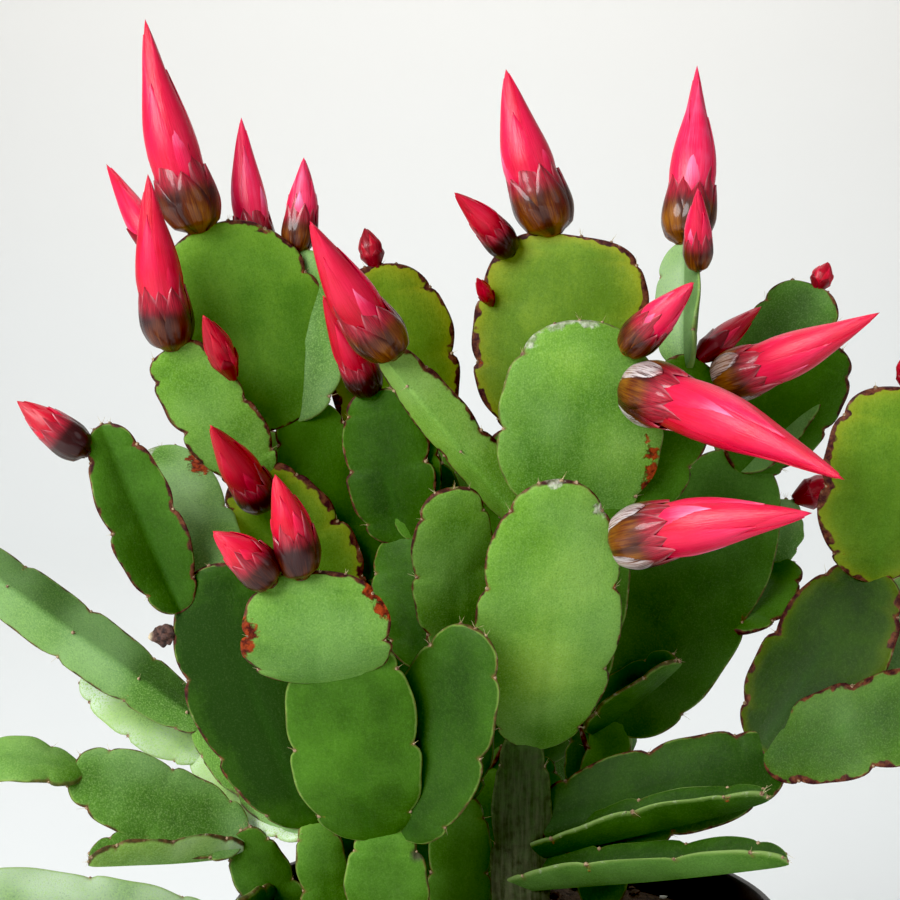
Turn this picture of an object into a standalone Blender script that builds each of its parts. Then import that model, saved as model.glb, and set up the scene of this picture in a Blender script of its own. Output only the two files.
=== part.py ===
"""Easter cactus in its nursery pot, in bud.

The model is in metres, +Z up, with its origin at the centre of the pot's underside. The plant is laid out as a
gardener would sketch it from the front: every pad and bud has the place where its tip shows on an upright drawing
board through the pot's axis, in millimetres, and a depth, which is how far behind (+) or in front of (-) that board
the tip really is. seen() turns the two into a place in space.
"""
import math

import bmesh
import bpy
from mathutils import Vector
from mathutils.bvhtree import BVHTree

MM = 0.001
RIM_RADIUS = 60.0        # a 12 cm nursery pot
POT_HEIGHT = 108.0
BASE_RADIUS = 43.0
WALL = 1.5
FLOOR = 2.5
SOIL_TOP = 99.0
SOIL_BOTTOM = 2.8
GAP = 0.3                # clearance between neighbouring pieces
FOOT_DEPTH = 10.0        # how deep a stem stands in its hole
FOOT_TOP = 104.0
EDGE = 1.2               # thickness of a pad at its margin
EYE = Vector((-11.7, -385.0, 235.0))   # where the drawing board is looked at from
# How a pad's outline swells from its base and closes at its tip: small numbers are full and blunt.
OUTLINES = {"round": (0.95, 0.62), "egg": (0.85, 0.8), "strap": (0.6, 0.5), "pointed": (0.9, 1.0), "full": (0.65, 0.6),
            "lance": (0.55, 0.85), "crown": (0.85, 0.5)}

LEAF_GREEN = (0.09, 0.26, 0.035)
PETAL_RED = (0.78, 0.015, 0.06)
CALYX_BROWN = (0.16, 0.045, 0.015)
BUD_DARK = (0.35, 0.01, 0.03)
POT_BLACK = (0.022, 0.016, 0.018)
PEAT = (0.045, 0.028, 0.018)


def material(name, colour, roughness, metallic=0.0):
    mat = bpy.data.materials.new(name)
    mat.use_nodes = True
    shader = mat.node_tree.nodes["Principled BSDF"]
    shader.inputs["Base Color"].default_value = (*colour, 1.0)
    shader.inputs["Roughness"].default_value = roughness
    shader.inputs["Metallic"].default_value = metallic
    return mat


def make(name, verts, faces, mat):
    """A mesh object from points in millimetres."""
    mesh = bpy.data.meshes.new(name)
    mesh.from_pydata([Vector(p) * MM for p in verts], [], faces)
    mesh.validate()
    mesh.materials.append(mat)
    obj = bpy.data.objects.new(name, mesh)
    bpy.context.scene.collection.objects.link(obj)
    return obj


def tidy(obj):
    """Faces out, no doubled points, triangles only."""
    bm = bmesh.new()
    bm.from_mesh(obj.data)
    bmesh.ops.remove_doubles(bm, verts=bm.verts, dist=2e-6)
    bmesh.ops.dissolve_degenerate(bm, edges=bm.edges, dist=2e-6)
    bmesh.ops.triangulate(bm, faces=bm.faces)
    bmesh.ops.recalc_face_normals(bm, faces=bm.faces)
    bm.to_mesh(obj.data)
    bm.free()
    obj.data.shade_smooth()
    obj.data.set_sharp_from_angle(angle=math.radians(38))


def boolean(target, others, operation, solver="EXACT"):
    """Joins or cuts with one Boolean on a collection, applies it and removes the helpers."""
    group = bpy.data.collections.new(target.name + "_tools")
    bpy.context.scene.collection.children.link(group)
    for other in others:
        bpy.context.scene.collection.objects.unlink(other)
        group.objects.link(other)
        other.hide_render = True
        other.display_type = "WIRE"
    mod = target.modifiers.new("join", "BOOLEAN")
    mod.operation = operation
    mod.operand_type = "COLLECTION"
    mod.collection = group
    mod.solver = solver
    bpy.context.view_layer.update()
    graph = bpy.context.evaluated_depsgraph_get()
    mesh = bpy.data.meshes.new_from_object(target.evaluated_get(graph))
    target.modifiers.remove(mod)
    target.data = mesh
    for other in others:
        bpy.data.objects.remove(other)
    bpy.data.collections.remove(group)


def seen(x, z, depth):
    """The place in space that shows at (x, z) on the drawing board and lies depth behind it."""
    return EYE + (Vector((x, 0.0, z)) - EYE) * ((depth - EYE.y) / -EYE.y)


class Pad:
    """One flat, crenate stem segment, from its base to its tip."""

    def __init__(self, base, tip, width, turn, bow, fold, thick, lobes, shape, number, coarse):
        self.base, self.tip = base, tip
        self.length = (tip - base).length
        self.axis = (tip - base).normalized()
        middle = (base + tip) / 2
        look = (EYE - middle).normalized()
        face = (look - self.axis * look.dot(self.axis)).normalized()
        side = self.axis.cross(face)
        angle = math.radians(turn)
        self.face = face * math.cos(angle) + side * math.sin(angle)
        self.side = side * math.cos(angle) - face * math.sin(angle)
        self.half = width / 2 * (middle.y - EYE.y) / -EYE.y
        self.swell, self.close = OUTLINES[shape]
        self.bow, self.fold, self.thick = bow, math.radians(fold), thick
        self.lobes = lobes or (3 if self.length < 30 else 4 if self.length < 52 else 5)
        self.number = number
        self.coarse = coarse

    def half_width(self, t, sign):
        """Half the width at t, 0 at the base and 1 at the tip, with the rounded teeth of the margin."""
        bulge = math.sin(math.pi * t) ** (self.swell if t < 0.5 else self.close)
        uneven = 1 + 0.05 * math.sin(2.4 * t + 1.7 * self.number + (0.9 if sign > 0 else 2.3))
        tooth = abs(2 * ((t * self.lobes) % 1.0) - 1) ** 5
        notch = min(1.25, 0.13 * self.half) * tooth * math.sin(math.pi * t)
        return max(self.half * bulge * uneven - notch, 0.0)

    def point(self, t, across, lift=0.0):
        """A point of the pad's middle sheet: t along it, across from -1 to 1, lift off the sheet."""
        u = (1 - math.cos(math.pi * t)) / 2
        width = self.half_width(min(max(t, 1e-5), 1 - 1e-5), across) * abs(across)
        wave = 0.5 * math.sin(2 * math.pi * (1.5 * u + 0.37 * self.number)) * across * across * math.sin(math.pi * t)
        out = math.sin(self.fold) * width + self.bow * 4 * u * (1 - u) + wave + lift
        return (self.base + self.axis * (self.length * u)
                + self.side * math.copysign(math.cos(self.fold) * width, across) + self.face * out)

    def nearest(self, x, z, reach, side=0):
        """The place on the pad that shows nearest to (x, z) on the drawing board; reach 1 is out to the margin.

        side 1 or -1 looks on the right or the left half of the pad only.
        """
        best = None
        for i in range(61):
            t = 0.2 + (0.8 - 0.17 * (1 - reach) / 0.15) * i / 60
            for k in range(-10, 11):
                if k * side < 0:
                    continue
                p = self.point(t, k / 10 * reach if k else 1e-6)
                flat = EYE + (p - EYE) * (-EYE.y / (p.y - EYE.y))
                gap = math.hypot(flat.x - x, flat.z - z)
                if best is None or gap < best[0] - 1e-6:
                    best = (gap, p)
        return best[1]

    def solid(self, name, mat):
        """A closed lens: the margin is a thin band, the midrib stands out on both faces."""
        steps = self.lobes * (2 if self.coarse else 3)
        rib_at = [round(steps * share) for share in ((0.25, 0.75) if self.coarse else (0.16, 0.38, 0.62, 0.84))]
        verts, faces = [], []

        def add(p):
            verts.append(p)
            return len(verts) - 1

        rings = {}
        for side in (1, -1):
            for sign in (1, -1):
                rings[side, sign] = []
                for i in range(steps + 1):
                    if i in (0, steps) and sign == -1:
                        rings[side, sign].append(rings[side, 1][i])
                        continue
                    rings[side, sign].append(add(self.point(i / steps, sign, side * EDGE / 2)))
            rings[side, 0] = {i: add(self.point(i / steps, 1e-6, side * self.rib(i / steps))) for i in rib_at}
        for side in (1, -1):
            ribs = rings[side, 0]
            for sign in (1, -1):
                ring = rings[side, sign]
                strip = []
                for a in range(rib_at[0]):
                    strip.append((ribs[rib_at[0]], ring[a], ring[a + 1]))
                for lo, hi in zip(rib_at, rib_at[1:]):
                    middle = (lo + hi) // 2
                    for a in range(lo, middle):
                        strip.append((ribs[lo], ring[a], ring[a + 1]))
                    strip.append((ribs[lo], ring[middle], ribs[hi]))
                    for a in range(middle, hi):
                        strip.append((ribs[hi], ring[a], ring[a + 1]))
                for a in range(rib_at[-1], steps):
                    strip.append((ribs[rib_at[-1]], ring[a], ring[a + 1]))
                faces += strip
        for sign in (1, -1):
            front, back = rings[1, sign], rings[-1, sign]
            for a in range(steps):
                faces.append((front[a], front[a + 1], back[a + 1], back[a]))
        obj = make(name, verts, faces, mat)
        tidy(obj)
        return obj

    def rib(self, t):
        """Half the thickness along the midrib."""
        return max(self.thick / 2 * math.sin(math.pi * min(max(t, 0.06), 0.96)) ** 0.35, EDGE / 2 + 0.05)


class Stem:
    """A branching stem: all its pads end up as one solid that stands in a hole in the soil."""
    count = 0

    def __init__(self, name, x, y, girth=5.0):
        self.name, self.foot, self.girth = name, Vector((x, y, SOIL_TOP + 2)), girth
        self.pads = []

    def grow(self, parent, root, tip, depth, width, turn=0, bow=0.0, fold=0, thick=3.0, lobes=0,
             shape="round", coarse=False):
        """A pad that grows from its parent near root, or from the foot, and ends at tip on the drawing board."""
        base = parent.nearest(*root, 0.85) if parent else self.foot.copy()
        Stem.count += 1
        pad = Pad(base, seen(*tip, depth), width, turn, bow, fold, thick, lobes,
                  shape, Stem.count, coarse)
        self.pads.append(pad)
        return pad

    def build(self, mat):
        solids = [pad.solid(f"{self.name}_pad_{i}", mat) for i, pad in enumerate(self.pads)]
        self.skin = [(vertex.co.copy() / MM, None) for solid in solids for vertex in solid.data.vertices]
        self.trees = [tree_of(solid) for solid in solids]
        foot = prism(self.name, self.foot, self.girth / 2, SOIL_TOP - FOOT_DEPTH, FOOT_TOP, mat)
        boolean(foot, solids, "UNION")
        tidy(foot)
        return foot


def prism(name, centre, radius, bottom, top, mat, sides=8):
    """The upright foot of a stem, or the plain hole it stands in."""
    verts, faces = [], []
    for z, r in ((bottom, radius * 0.9), (top, radius)):
        for i in range(sides):
            a = math.tau * (i + 0.5) / sides
            verts.append((centre.x + r * math.cos(a), centre.y + r * math.sin(a), z))
    faces.append(tuple(reversed(range(sides))))
    faces.append(tuple(range(sides, 2 * sides)))
    for i in range(sides):
        j = (i + 1) % sides
        faces.append((i, j, sides + j, sides + i))
    obj = make(name, verts, faces, mat)
    tidy(obj)
    return obj


def tree_of(obj):
    points = [v.co / MM for v in obj.data.vertices]
    return BVHTree.FromPolygons(points, [tuple(p.vertices) for p in obj.data.polygons])


class Bud:
    """A flower bud: a ribbed calyx cup on an areole of a pad, with pointed petals rolled up in it."""

    def __init__(self, stem, parent, root, tip, depth, girth, bow=0.0, side=0):
        self.stem = stem
        self.root = parent.nearest(*root, 1.0, side)
        self.tip = seen(*tip, depth)
        self.radius = girth / 2 * ((self.root.y + self.tip.y) / 2 - EYE.y) / -EYE.y
        self.bow = bow
        self.shift = 0.0
        self.lay()

    def lay(self):
        line = self.tip - self.root
        self.axis = line.normalized()
        self.base = self.root + self.axis * self.shift
        self.length = (self.tip - self.base).length
        self.cup = min(0.62 * 2 * self.radius + 2.5, 0.42 * self.length)
        self.across = self.axis.cross(Vector((0, 1, 0))).normalized()
        self.up = self.across.cross(self.axis).normalized()

    def point(self, along, radius, angle):
        """along in millimetres from the base, on the bud's slightly bent axis."""
        share = along / self.length
        bend = self.bow * math.sin(math.pi * min(max(share, 0.0), 1.0))
        return (self.base + self.axis * along + self.across * (radius * math.cos(angle) + bend)
                + self.up * radius * math.sin(angle))

    def rows(self, name, profile, columns, mat):
        """A closed body from rows of (along, radius) where each may be a function of the column."""
        verts, faces = [], []
        verts.append(self.point(profile[0][0], 0, 0))
        for along, radius in profile[1:-1]:
            for c in range(columns):
                a = along(c) if callable(along) else along
                r = radius(c) if callable(radius) else radius
                verts.append(self.point(a, r, math.tau * c / columns))
        verts.append(self.point(profile[-1][0], 0, 0))
        last = len(verts) - 1
        count = len(profile) - 2
        for c in range(columns):
            d = (c + 1) % columns
            faces.append((0, 1 + d, 1 + c))
            for k in range(count - 1):
                p = 1 + k * columns
                faces.append((p + c, p + d, p + columns + d, p + columns + c))
            p = 1 + (count - 1) * columns
            faces.append((p + c, p + d, last))
        obj = make(name, verts, faces, mat)
        tidy(obj)
        return obj

    def calyx(self, name, mat):
        """A cup of brown scales; every second column is a scale that ends in a point."""
        r, c, wall = self.radius, self.cup, 0.6
        tip = lambda k: c * (1.15 if k % 2 == 0 else 0.95)
        rib = lambda share: (lambda k: r * share * (1.03 if k % 2 == 0 else 0.95))
        inner = lambda share: (lambda k: r * share * (1.03 if k % 2 == 0 else 0.95) - wall)
        profile = [(0.0, 0), (0.13 * c, rib(0.66)), (0.58 * c, rib(1.0)),
                   (tip, rib(0.94)), (lambda k: tip(k) - 0.1, inner(0.94)), (0.5 * c, inner(0.9)), (0.36 * c, 0)]
        return self.rows(name, profile, 10, mat)

    def petals(self, name, mat, closed=False):
        """Rolled petals: three outer ones that end early, three inner ones that make the point."""
        r, c, n, wall = self.radius, self.cup, self.length, 0.6
        body = n - c
        outer = lambda share, more: (lambda k: r * share * (1 + (more if k % 4 == 0 else 0.02 if k % 2 == 0 else -0.06)))
        mouth = 0.94 * 0.95 * r - wall - 0.32
        if closed:
            start = [(0.0, 0), (0.16 * c, outer(0.6, 0.03)), (0.7 * c, outer(0.98, 0.03))]
        else:
            start = [(0.36 * c + 0.4, 0), (0.5 * c + 0.4, 0.9 * 0.95 * r - wall - 0.4), (1.13 * c, mouth)]
        rise = [(1.15 * c + 0.12 * body, 0.85, 0.03), (c + 0.38 * body, 0.77, 0.05), (c + 0.54 * body, 0.63, 0.1),
                (c + 0.6 * body, 0.55, 0.0), (c + 0.84 * body, 0.3, 0.04)]
        if closed:
            rise = [(c + 0.2 * body, 0.9, 0.03), (c + 0.5 * body, 0.62, 0.1), (c + 0.8 * body, 0.25, 0.02)]
        profile = start + [(along, outer(share, more)) for along, share, more in rise] + [(n, 0)]
        return self.rows(name, profile, 8 if closed else 10, mat)

    def seat(self):
        """Slides the bud out along its axis until its calyx clears the pads of its stem by the gap."""
        self.shift = -1.5
        for _ in range(40):
            self.lay()
            test = self.calyx("test", TEST)
            tree = tree_of(test)
            points = [v.co / MM for v in test.data.vertices]
            mesh = test.data
            bpy.data.objects.remove(test)
            bpy.data.meshes.remove(mesh)
            near = 9.0
            for pads in self.stem.trees:
                if pads.overlap(tree):
                    near = -1.0
                    break
                for p in points:
                    hit = pads.find_nearest(p, 6.0)
                    if hit[3] is not None:
                        near = min(near, hit[3])
            if near >= 0:
                for p, _ in self.stem.skin:
                    hit = tree.find_nearest(p, 3.0)
                    if hit[3] is not None:
                        near = min(near, hit[3])
            if near >= GAP:
                return
            self.shift += 0.2


for old in list(bpy.data.objects):
    bpy.data.objects.remove(old)

LEAF = material("pad skin", LEAF_GREEN, 0.45)
PETAL = material("petal", PETAL_RED, 0.35)
CALYX = material("calyx", CALYX_BROWN, 0.3)
DARK_BUD = material("young bud", BUD_DARK, 0.35)
PLASTIC = material("pot plastic", POT_BLACK, 0.5)
SOIL = material("potting soil", PEAT, 0.95)
TEST = material("trial", CALYX_BROWN, 0.5)

# The front left stem: its two big pads and the round shelf pad that carries two buds.
front_left = Stem("stem_front_left", -24, -27, 6)
fl_low = front_left.grow(None, None, (-25.8, 125.6), -31, 20, turn=-8, shape="full")
fl_tall = front_left.grow(fl_low, (-29, 124), (-34.5, 167.5), -42, 29.3, turn=-10, bow=2.5, shape="full")
fl_right = front_left.grow(fl_low, (-21, 124.5), (-6.5, 169.6), -42, 24, turn=-22, bow=1, shape="egg")
fl_shelf = front_left.grow(fl_tall, (-41.0, 157.5), (-40.5, 181.8), -48, 33, bow=3.5, lobes=4, shape="full")

# The left stem, with the long winged arm that reaches out to the left behind it.
left = Stem("stem_left", -36, -12, 5.5)
l_low = left.grow(None, None, (-41.0, 128.5), -18, 12, coarse=True)
l_dark = left.grow(l_low, (-42, 127), (-64.0, 183.0), -27, 28.5, turn=-14, bow=2, shape="egg")
l_vee = left.grow(l_dark, (-70, 173), (-86.5, 213.5), -30, 18, fold=28, shape="egg")
l_pale = left.grow(l_dark, (-63, 182), (-74.0, 208.5), 2, 19.5, turn=15)
l_arm = left.grow(l_low, (-43, 128), (-66.5, 150.0), 9, 16, fold=-32, shape="strap", coarse=True)
l_arm_end = left.grow(l_arm, (-65.5, 149.5), (-121.0, 188.5), 8, 16, fold=-32, lobes=6, shape="strap")
l_back = left.grow(l_low, (-43, 124), (-67.0, 142.0), 20, 12, coarse=True)
l_back_end = left.grow(l_back, (-66, 141.5), (-90.5, 160.0), 23, 14, coarse=True)

# The low left stem, whose arms hang out over the rim.
low_left = Stem("stem_low_left", -43, -7, 5.5)
ll_low = low_left.grow(None, None, (-57.5, 125.0), -13, 13, coarse=True)
ll_out = low_left.grow(ll_low, (-57, 125), (-93.8, 138.5), -18, 18.5, turn=16, shape="full")
ll_end = low_left.grow(ll_out, (-93, 138.3), (-121.0, 138.0), -22, 13, turn=40, bow=4)
ll_vee = low_left.grow(ll_low, (-57, 120), (-90.5, 118.0), -27, 15.5, turn=72, fold=54, shape="lance")
ll_over = low_left.grow(ll_low, (-50.5, 112), (-63.5, 104.5), -36, 8.5, turn=-50, bow=1, thick=4, coarse=True)
ll_far = low_left.grow(ll_over, (-63, 104.6), (-121.0, 112.5), -44, 13, turn=10, lobes=4, shape="strap")

# The centre stem: the old woody joint, the big front pad and the column of pads behind it.
centre = Stem("stem_centre", 3, -10, 7)
c_wood = centre.grow(None, None, (4.0, 147.0), -17, 14, thick=6, shape="full", coarse=True)
c_front = centre.grow(c_wood, (7, 145), (11.8, 201.5), -46, 32.5, turn=10, bow=3, lobes=5, shape="egg")
c_behind = centre.grow(c_wood, (5, 146), (18.0, 195.0), -17, 27, coarse=True)
c_upper = centre.grow(c_behind, (16, 192), (15.5, 235.8), -24, 35.5, turn=8, bow=2, lobes=4, shape="egg")
c_shoulder = centre.grow(c_behind, (23, 191), (42.0, 227.0), -12, 21.5, turn=22)
c_spire = centre.grow(c_shoulder, (39.5, 226), (39.3, 253.0), -7, 21, turn=-62, fold=18, shape="egg")
c_ridge = centre.grow(c_behind, (6, 190), (-25.5, 228.0), -25, 14.5, turn=-18, fold=-38, shape="strap")
# Lower on the same woody joint: the arm over the rim with the three big pads at its end, and two winged arms.
lr_arm = centre.grow(c_wood, (8, 126), (60.0, 141.0), -14, 21, lobes=4, shape="strap")
lr_big = centre.grow(lr_arm, (57, 143), (81.0, 182.3), -11, 28.5, turn=-20, lobes=4, shape="egg")
lr_top = centre.grow(lr_big, (80.5, 181.5), (84.5, 221.5), -20, 29, turn=16, bow=2)
lr_side = centre.grow(lr_arm, (59, 142), (101.0, 155.5), -34, 20.5, turn=-14, shape="full")
lr_pale = centre.grow(lr_arm, (60, 143), (96.0, 180.0), 8, 24.5, turn=-14, shape="egg", coarse=True)
lr_vee = centre.grow(c_wood, (5, 119), (57.4, 132.4), -31, 14, turn=-74, fold=54, lobes=4, shape="lance")
lr_vee_low = centre.grow(c_wood, (1, 112), (62.0, 118.2), -43, 15, turn=-70, fold=52, lobes=5, shape="lance")

# The inner stem, which fills the middle between the front pads.
inner = Stem("stem_inner", -10, -7, 5.5)
i_low = inner.grow(None, None, (-9.5, 133.0), -8, 14, coarse=True)
i_mid = inner.grow(i_low, (-9.5, 132.5), (-11.5, 167.0), -11, 17, coarse=True)
i_front = inner.grow(i_mid, (-10.5, 166), (-11.2, 199.8), -27, 19, turn=15, shape="full")
i_dark = inner.grow(i_mid, (-17, 161), (-23.0, 190.0), -6, 17, turn=-18, shape="egg")
i_upper = inner.grow(i_dark, (-22.5, 189.5), (-28.0, 221.0), -8, 19.6, turn=-14, shape="full")
i_slim = inner.grow(i_dark, (-20, 189), (-18.5, 213.5), -6, 12, coarse=True)

# The upper left stem, with the tall pads that carry the top left buds.
upper_left = Stem("stem_upper_left", -21, 5, 6)
ul_low = upper_left.grow(None, None, (-24.0, 142.0), 4, 17, coarse=True)
ul_mid = upper_left.grow(ul_low, (-24, 141), (-31.0, 180.0), 2, 19, coarse=True)
ul_side = upper_left.grow(ul_mid, (-35, 173), (-55.0, 203.5), -9, 23.5, turn=-15, shape="full")
ul_light = upper_left.grow(ul_side, (-52.5, 201), (-71.5, 230.0), -15, 19.2, turn=-20, shape="strap")
ul_dark = upper_left.grow(ul_mid, (-30, 179), (-43.5, 217.5), 2, 21, turn=18, coarse=True)
ul_round = upper_left.grow(ul_dark, (-50, 215), (-63.0, 256.0), -2, 35.5, turn=10, lobes=5, shape="egg")
ul_behind = upper_left.grow(ul_dark, (-46, 217), (-45.0, 250.8), 6, 23, turn=-16)

# The stem behind the middle, with the dark pad and the crown pad at its two tops.
back_mid = Stem("stem_back_mid", -2, 14, 7)
bm_low = back_mid.grow(None, None, (-4.0, 140.0), 14, 16, thick=4, coarse=True)
bm_left = back_mid.grow(bm_low, (-6, 139), (-15.0, 176.0), 14, 19, coarse=True)
bm_left_up = back_mid.grow(bm_left, (-15, 175), (-22.0, 209.0), 11, 21, coarse=True)
bm_dark = back_mid.grow(bm_left_up, (-22, 208), (-26.5, 247.8), 10, 31, turn=16, lobes=4, shape="egg")
bm_rear = back_mid.grow(bm_low, (-5, 138), (-8.0, 170.0), 30, 22, turn=-45, coarse=True)
bm_rear_up = back_mid.grow(bm_rear, (-8, 169), (-11.0, 203.0), 34, 23, turn=40, coarse=True)
bm_right = back_mid.grow(bm_low, (-2, 139), (2.0, 172.0), 10, 18, coarse=True)
bm_right_up = back_mid.grow(bm_right, (2, 171), (5.0, 213.0), 5, 24, coarse=True)
bm_crown = back_mid.grow(bm_right_up, (8.5, 209), (15.0, 253.8), 1, 37.5, turn=-9, lobes=5, shape="crown")

# The right stem: large dark pads behind the front ones, and the two upper right pads.
right = Stem("stem_right", 21, 3, 6)
r_low = right.grow(None, None, (23.0, 150.0), 4, 13, coarse=True)
r_slim = right.grow(r_low, (17, 147), (38.0, 162.3), -6, 15, turn=-66, fold=50, shape="lance")
r_large = right.grow(r_low, (25, 150), (53.0, 206.8), 12, 33, turn=12, lobes=4, shape="egg")
r_right = right.grow(r_large, (53, 206), (69.0, 231.5), 4, 23, turn=24)
r_top = right.grow(r_large, (51, 207), (65.0, 243.6), 14, 23, turn=-18)
r_side = right.grow(r_large, (50, 168), (60.0, 184.5), 24, 17, turn=-30, coarse=True)
r_side_end = right.grow(r_side, (59.5, 183.5), (60.3, 197.5), 24, 10.5, turn=30, coarse=True)
r_rear = right.grow(r_low, (16, 144), (30.0, 165.0), 34, 22, turn=40, coarse=True)
r_rear_up = right.grow(r_rear, (29, 164), (38.0, 195.0), 44, 25, turn=-50, coarse=True)
r_stub = right.grow(r_low, (13, 130), (18.0, 149.0), 14, 9, shape="egg", coarse=True)
r_stub_right = right.grow(r_low, (14, 126), (26.0, 148.5), 18, 9, shape="egg", coarse=True)

# The back left stem, hidden from the front.
back_left = Stem("stem_back_left", -25, 20, 6)
bl_low = back_left.grow(None, None, (-32.0, 148.0), 28, 19, coarse=True)
bl_mid = back_left.grow(bl_low, (-32, 147), (-44.0, 180.0), 40, 26, turn=35, coarse=True)
bl_top = back_left.grow(bl_mid, (-44, 179), (-50.0, 212.0), 46, 27, turn=60, coarse=True)
bl_side = back_left.grow(bl_low, (-37, 145), (-56.0, 160.0), 50, 22, turn=-40, coarse=True)
bl_side_end = back_left.grow(bl_side, (-55, 159), (-68.0, 182.0), 58, 24, turn=-60, coarse=True)
bl_inner = back_left.grow(bl_low, (-28, 147), (-26.0, 172.0), 44, 21, turn=50, coarse=True)

# The back stem, which leans away from the front.
back = Stem("stem_back", 8, 32, 6.5)
b_low = back.grow(None, None, (5.0, 142.0), 44, 18, coarse=True)
b_left = back.grow(b_low, (1, 141), (-10.0, 180.0), 60, 25, turn=-30, coarse=True)
b_left_up = back.grow(b_left, (-10, 179), (-23.0, 221.0), 62, 26, turn=-50, coarse=True)
b_right = back.grow(b_low, (8, 141), (17.0, 184.0), 62, 24, turn=40, coarse=True)
b_right_up = back.grow(b_right, (17, 183), (16.0, 227.0), 60, 26, turn=58, coarse=True)
b_out = back.grow(b_low, (9, 135), (22.0, 152.0), 74, 20, turn=30, coarse=True)
b_out_end = back.grow(b_out, (21, 151), (34.0, 172.0), 84, 22, turn=65, coarse=True)

STEMS = [front_left, left, low_left, centre, inner, upper_left, back_mid, right, back_left, back]

holes = []
nodes = {}
for stem in STEMS:
    nodes[stem.name] = stem.build(LEAF)
    holes.append(prism(stem.name + "_hole", stem.foot, stem.girth / 2 + GAP + 0.05, SOIL_TOP - FOOT_DEPTH - GAP, 112, SOIL))

# The buds. Each large one is a calyx and its petals, each small one is a single closed bud.
LARGE = {
    "top_left": Bud(upper_left, ul_round, (-66, 256.5), (-76.0, 299.2), -4, 13.3, bow=1.2),
    "left_upright": Bud(upper_left, ul_light, (-71, 230), (-75.8, 266.8), -22, 11.4, bow=0.6),
    "left_pink": Bud(upper_left, ul_behind, (-51.5, 247), (-55.9, 278.7), 11, 9.6, bow=0.8),
    "left_pink_small": Bud(upper_left, ul_behind, (-44.5, 251), (-42.7, 270.3), 6, 8.4, bow=-0.5),
    "inner_left": Bud(centre, c_ridge, (-23.5, 228), (-41.5, 256.9), -38, 13.2, bow=1.0),
    "inner_left_low": Bud(inner, i_upper, (-29, 221), (-38.8, 241.2), -22, 8.6),
    "far_left": Bud(left, l_vee, (-89, 207), (-104.4, 218.6), -34, 8.6),
    "shelf_back": Bud(upper_left, ul_side, (-49.5, 193.5), (-63.1, 213.5), -30, 9.0),
    "shelf_right": Bud(front_left, fl_shelf, (-42.5, 178.5), (-49.3, 202.9), -52, 9.2, bow=-0.5),
    "shelf_left": Bud(front_left, fl_shelf, (-47.5, 177.0), (-62.7, 190.6), -54, 9.0, bow=-0.5),
    "crown": Bud(back_mid, bm_crown, (10.5, 252), (0.1, 288.8), 3, 12.2, bow=1.0),
    "crown_side": Bud(back_mid, bm_crown, (2, 249), (-10.8, 262.9), -7, 7.4, bow=-0.5),
    "spire": Bud(centre, c_spire, (38.3, 253), (40.5, 289.6), 4, 11.2, bow=-0.6),
    "spire_front": Bud(centre, c_spire, (42, 247.5), (40.9, 263.8), -27, 6.6, side=1),
    "shoulder_small": Bud(centre, c_upper, (23.0, 227), (40.3, 243.9), -36, 8.4),
    "shoulder_large": Bud(centre, c_upper, (24.0, 223.0), (73.1, 201.6), -64, 15.4, bow=1.2),
    "right_large": Bud(centre, c_shoulder, (45.5, 223), (80.0, 237.5), -32, 11.0, bow=-1.0),
    "front_right": Bud(centre, c_front, (24.5, 188), (66.2, 194.5), -62, 13.6, bow=0.8),
    "back_left": Bud(back, b_left_up, (-23, 221), (-26.0, 240.0), 68, 8.6),
}
SMALL = {
    "top_left_side": Bud(upper_left, ul_round, (-74.5, 249), (-84.6, 268.9), 8, 7.2),
    "left_small": Bud(upper_left, ul_light, (-56.5, 220.5), (-64.4, 237.0), -26, 7.2),
    "dark_tip": Bud(back_mid, bm_dark, (-27.7, 248), (-29.8, 255.4), 10, 6.0),
    "crown_low": Bud(back_mid, bm_crown, (-2.5, 238.5), (-6.0, 244.9), -1, 3.6),
    "middle_tiny": Bud(back_mid, bm_right_up, (-7.5, 207), (-9.0, 215.2), 4, 4.0),
    "right_small": Bud(centre, c_shoulder, (41.5, 228), (54.8, 238.8), 2, 6.4),
    "top_right": Bud(right, r_top, (66, 241.8), (68.8, 248.2), 14, 5.4),
    "right_behind": Bud(right, r_side_end, (60.5, 197.0), (73.0, 201.0), 24, 8.4),
    "far_right": Bud(centre, lr_top, (86.5, 221.2), (86.8, 230.3), -21, 7.0),
    "back_right": Bud(back, b_right_up, (16, 227), (18.0, 245.0), 66, 8.0),
}
for name, bud in LARGE.items():
    bud.seat()
    nodes["calyx_" + name] = bud.calyx("calyx_" + name, CALYX)
    nodes["petals_" + name] = bud.petals("petals_" + name, PETAL)
for name, bud in SMALL.items():
    bud.seat()
    nodes["bud_" + name] = bud.petals("bud_" + name, DARK_BUD, closed=True)


def turned(name, profile, segments, mat):
    """A closed ring of profile points (radius, height) about the pot's axis; radius 0 makes a pole."""
    verts, faces, rings = [], [], []
    for radius, height in profile:
        if radius == 0:
            verts.append((0, 0, height))
            rings.append([len(verts) - 1] * segments)
        else:
            first = len(verts)
            for i in range(segments):
                a = math.tau * i / segments
                verts.append((radius * math.cos(a), radius * math.sin(a), height))
            rings.append(list(range(first, first + segments)))
    for low, high in zip(rings, rings[1:]):
        for i in range(segments):
            j = (i + 1) % segments
            corner = []
            for v in (low[i], low[j], high[j], high[i]):
                if v not in corner:
                    corner.append(v)
            if len(corner) > 2:
                faces.append(tuple(corner))
    return make(name, verts, faces, mat)


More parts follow.
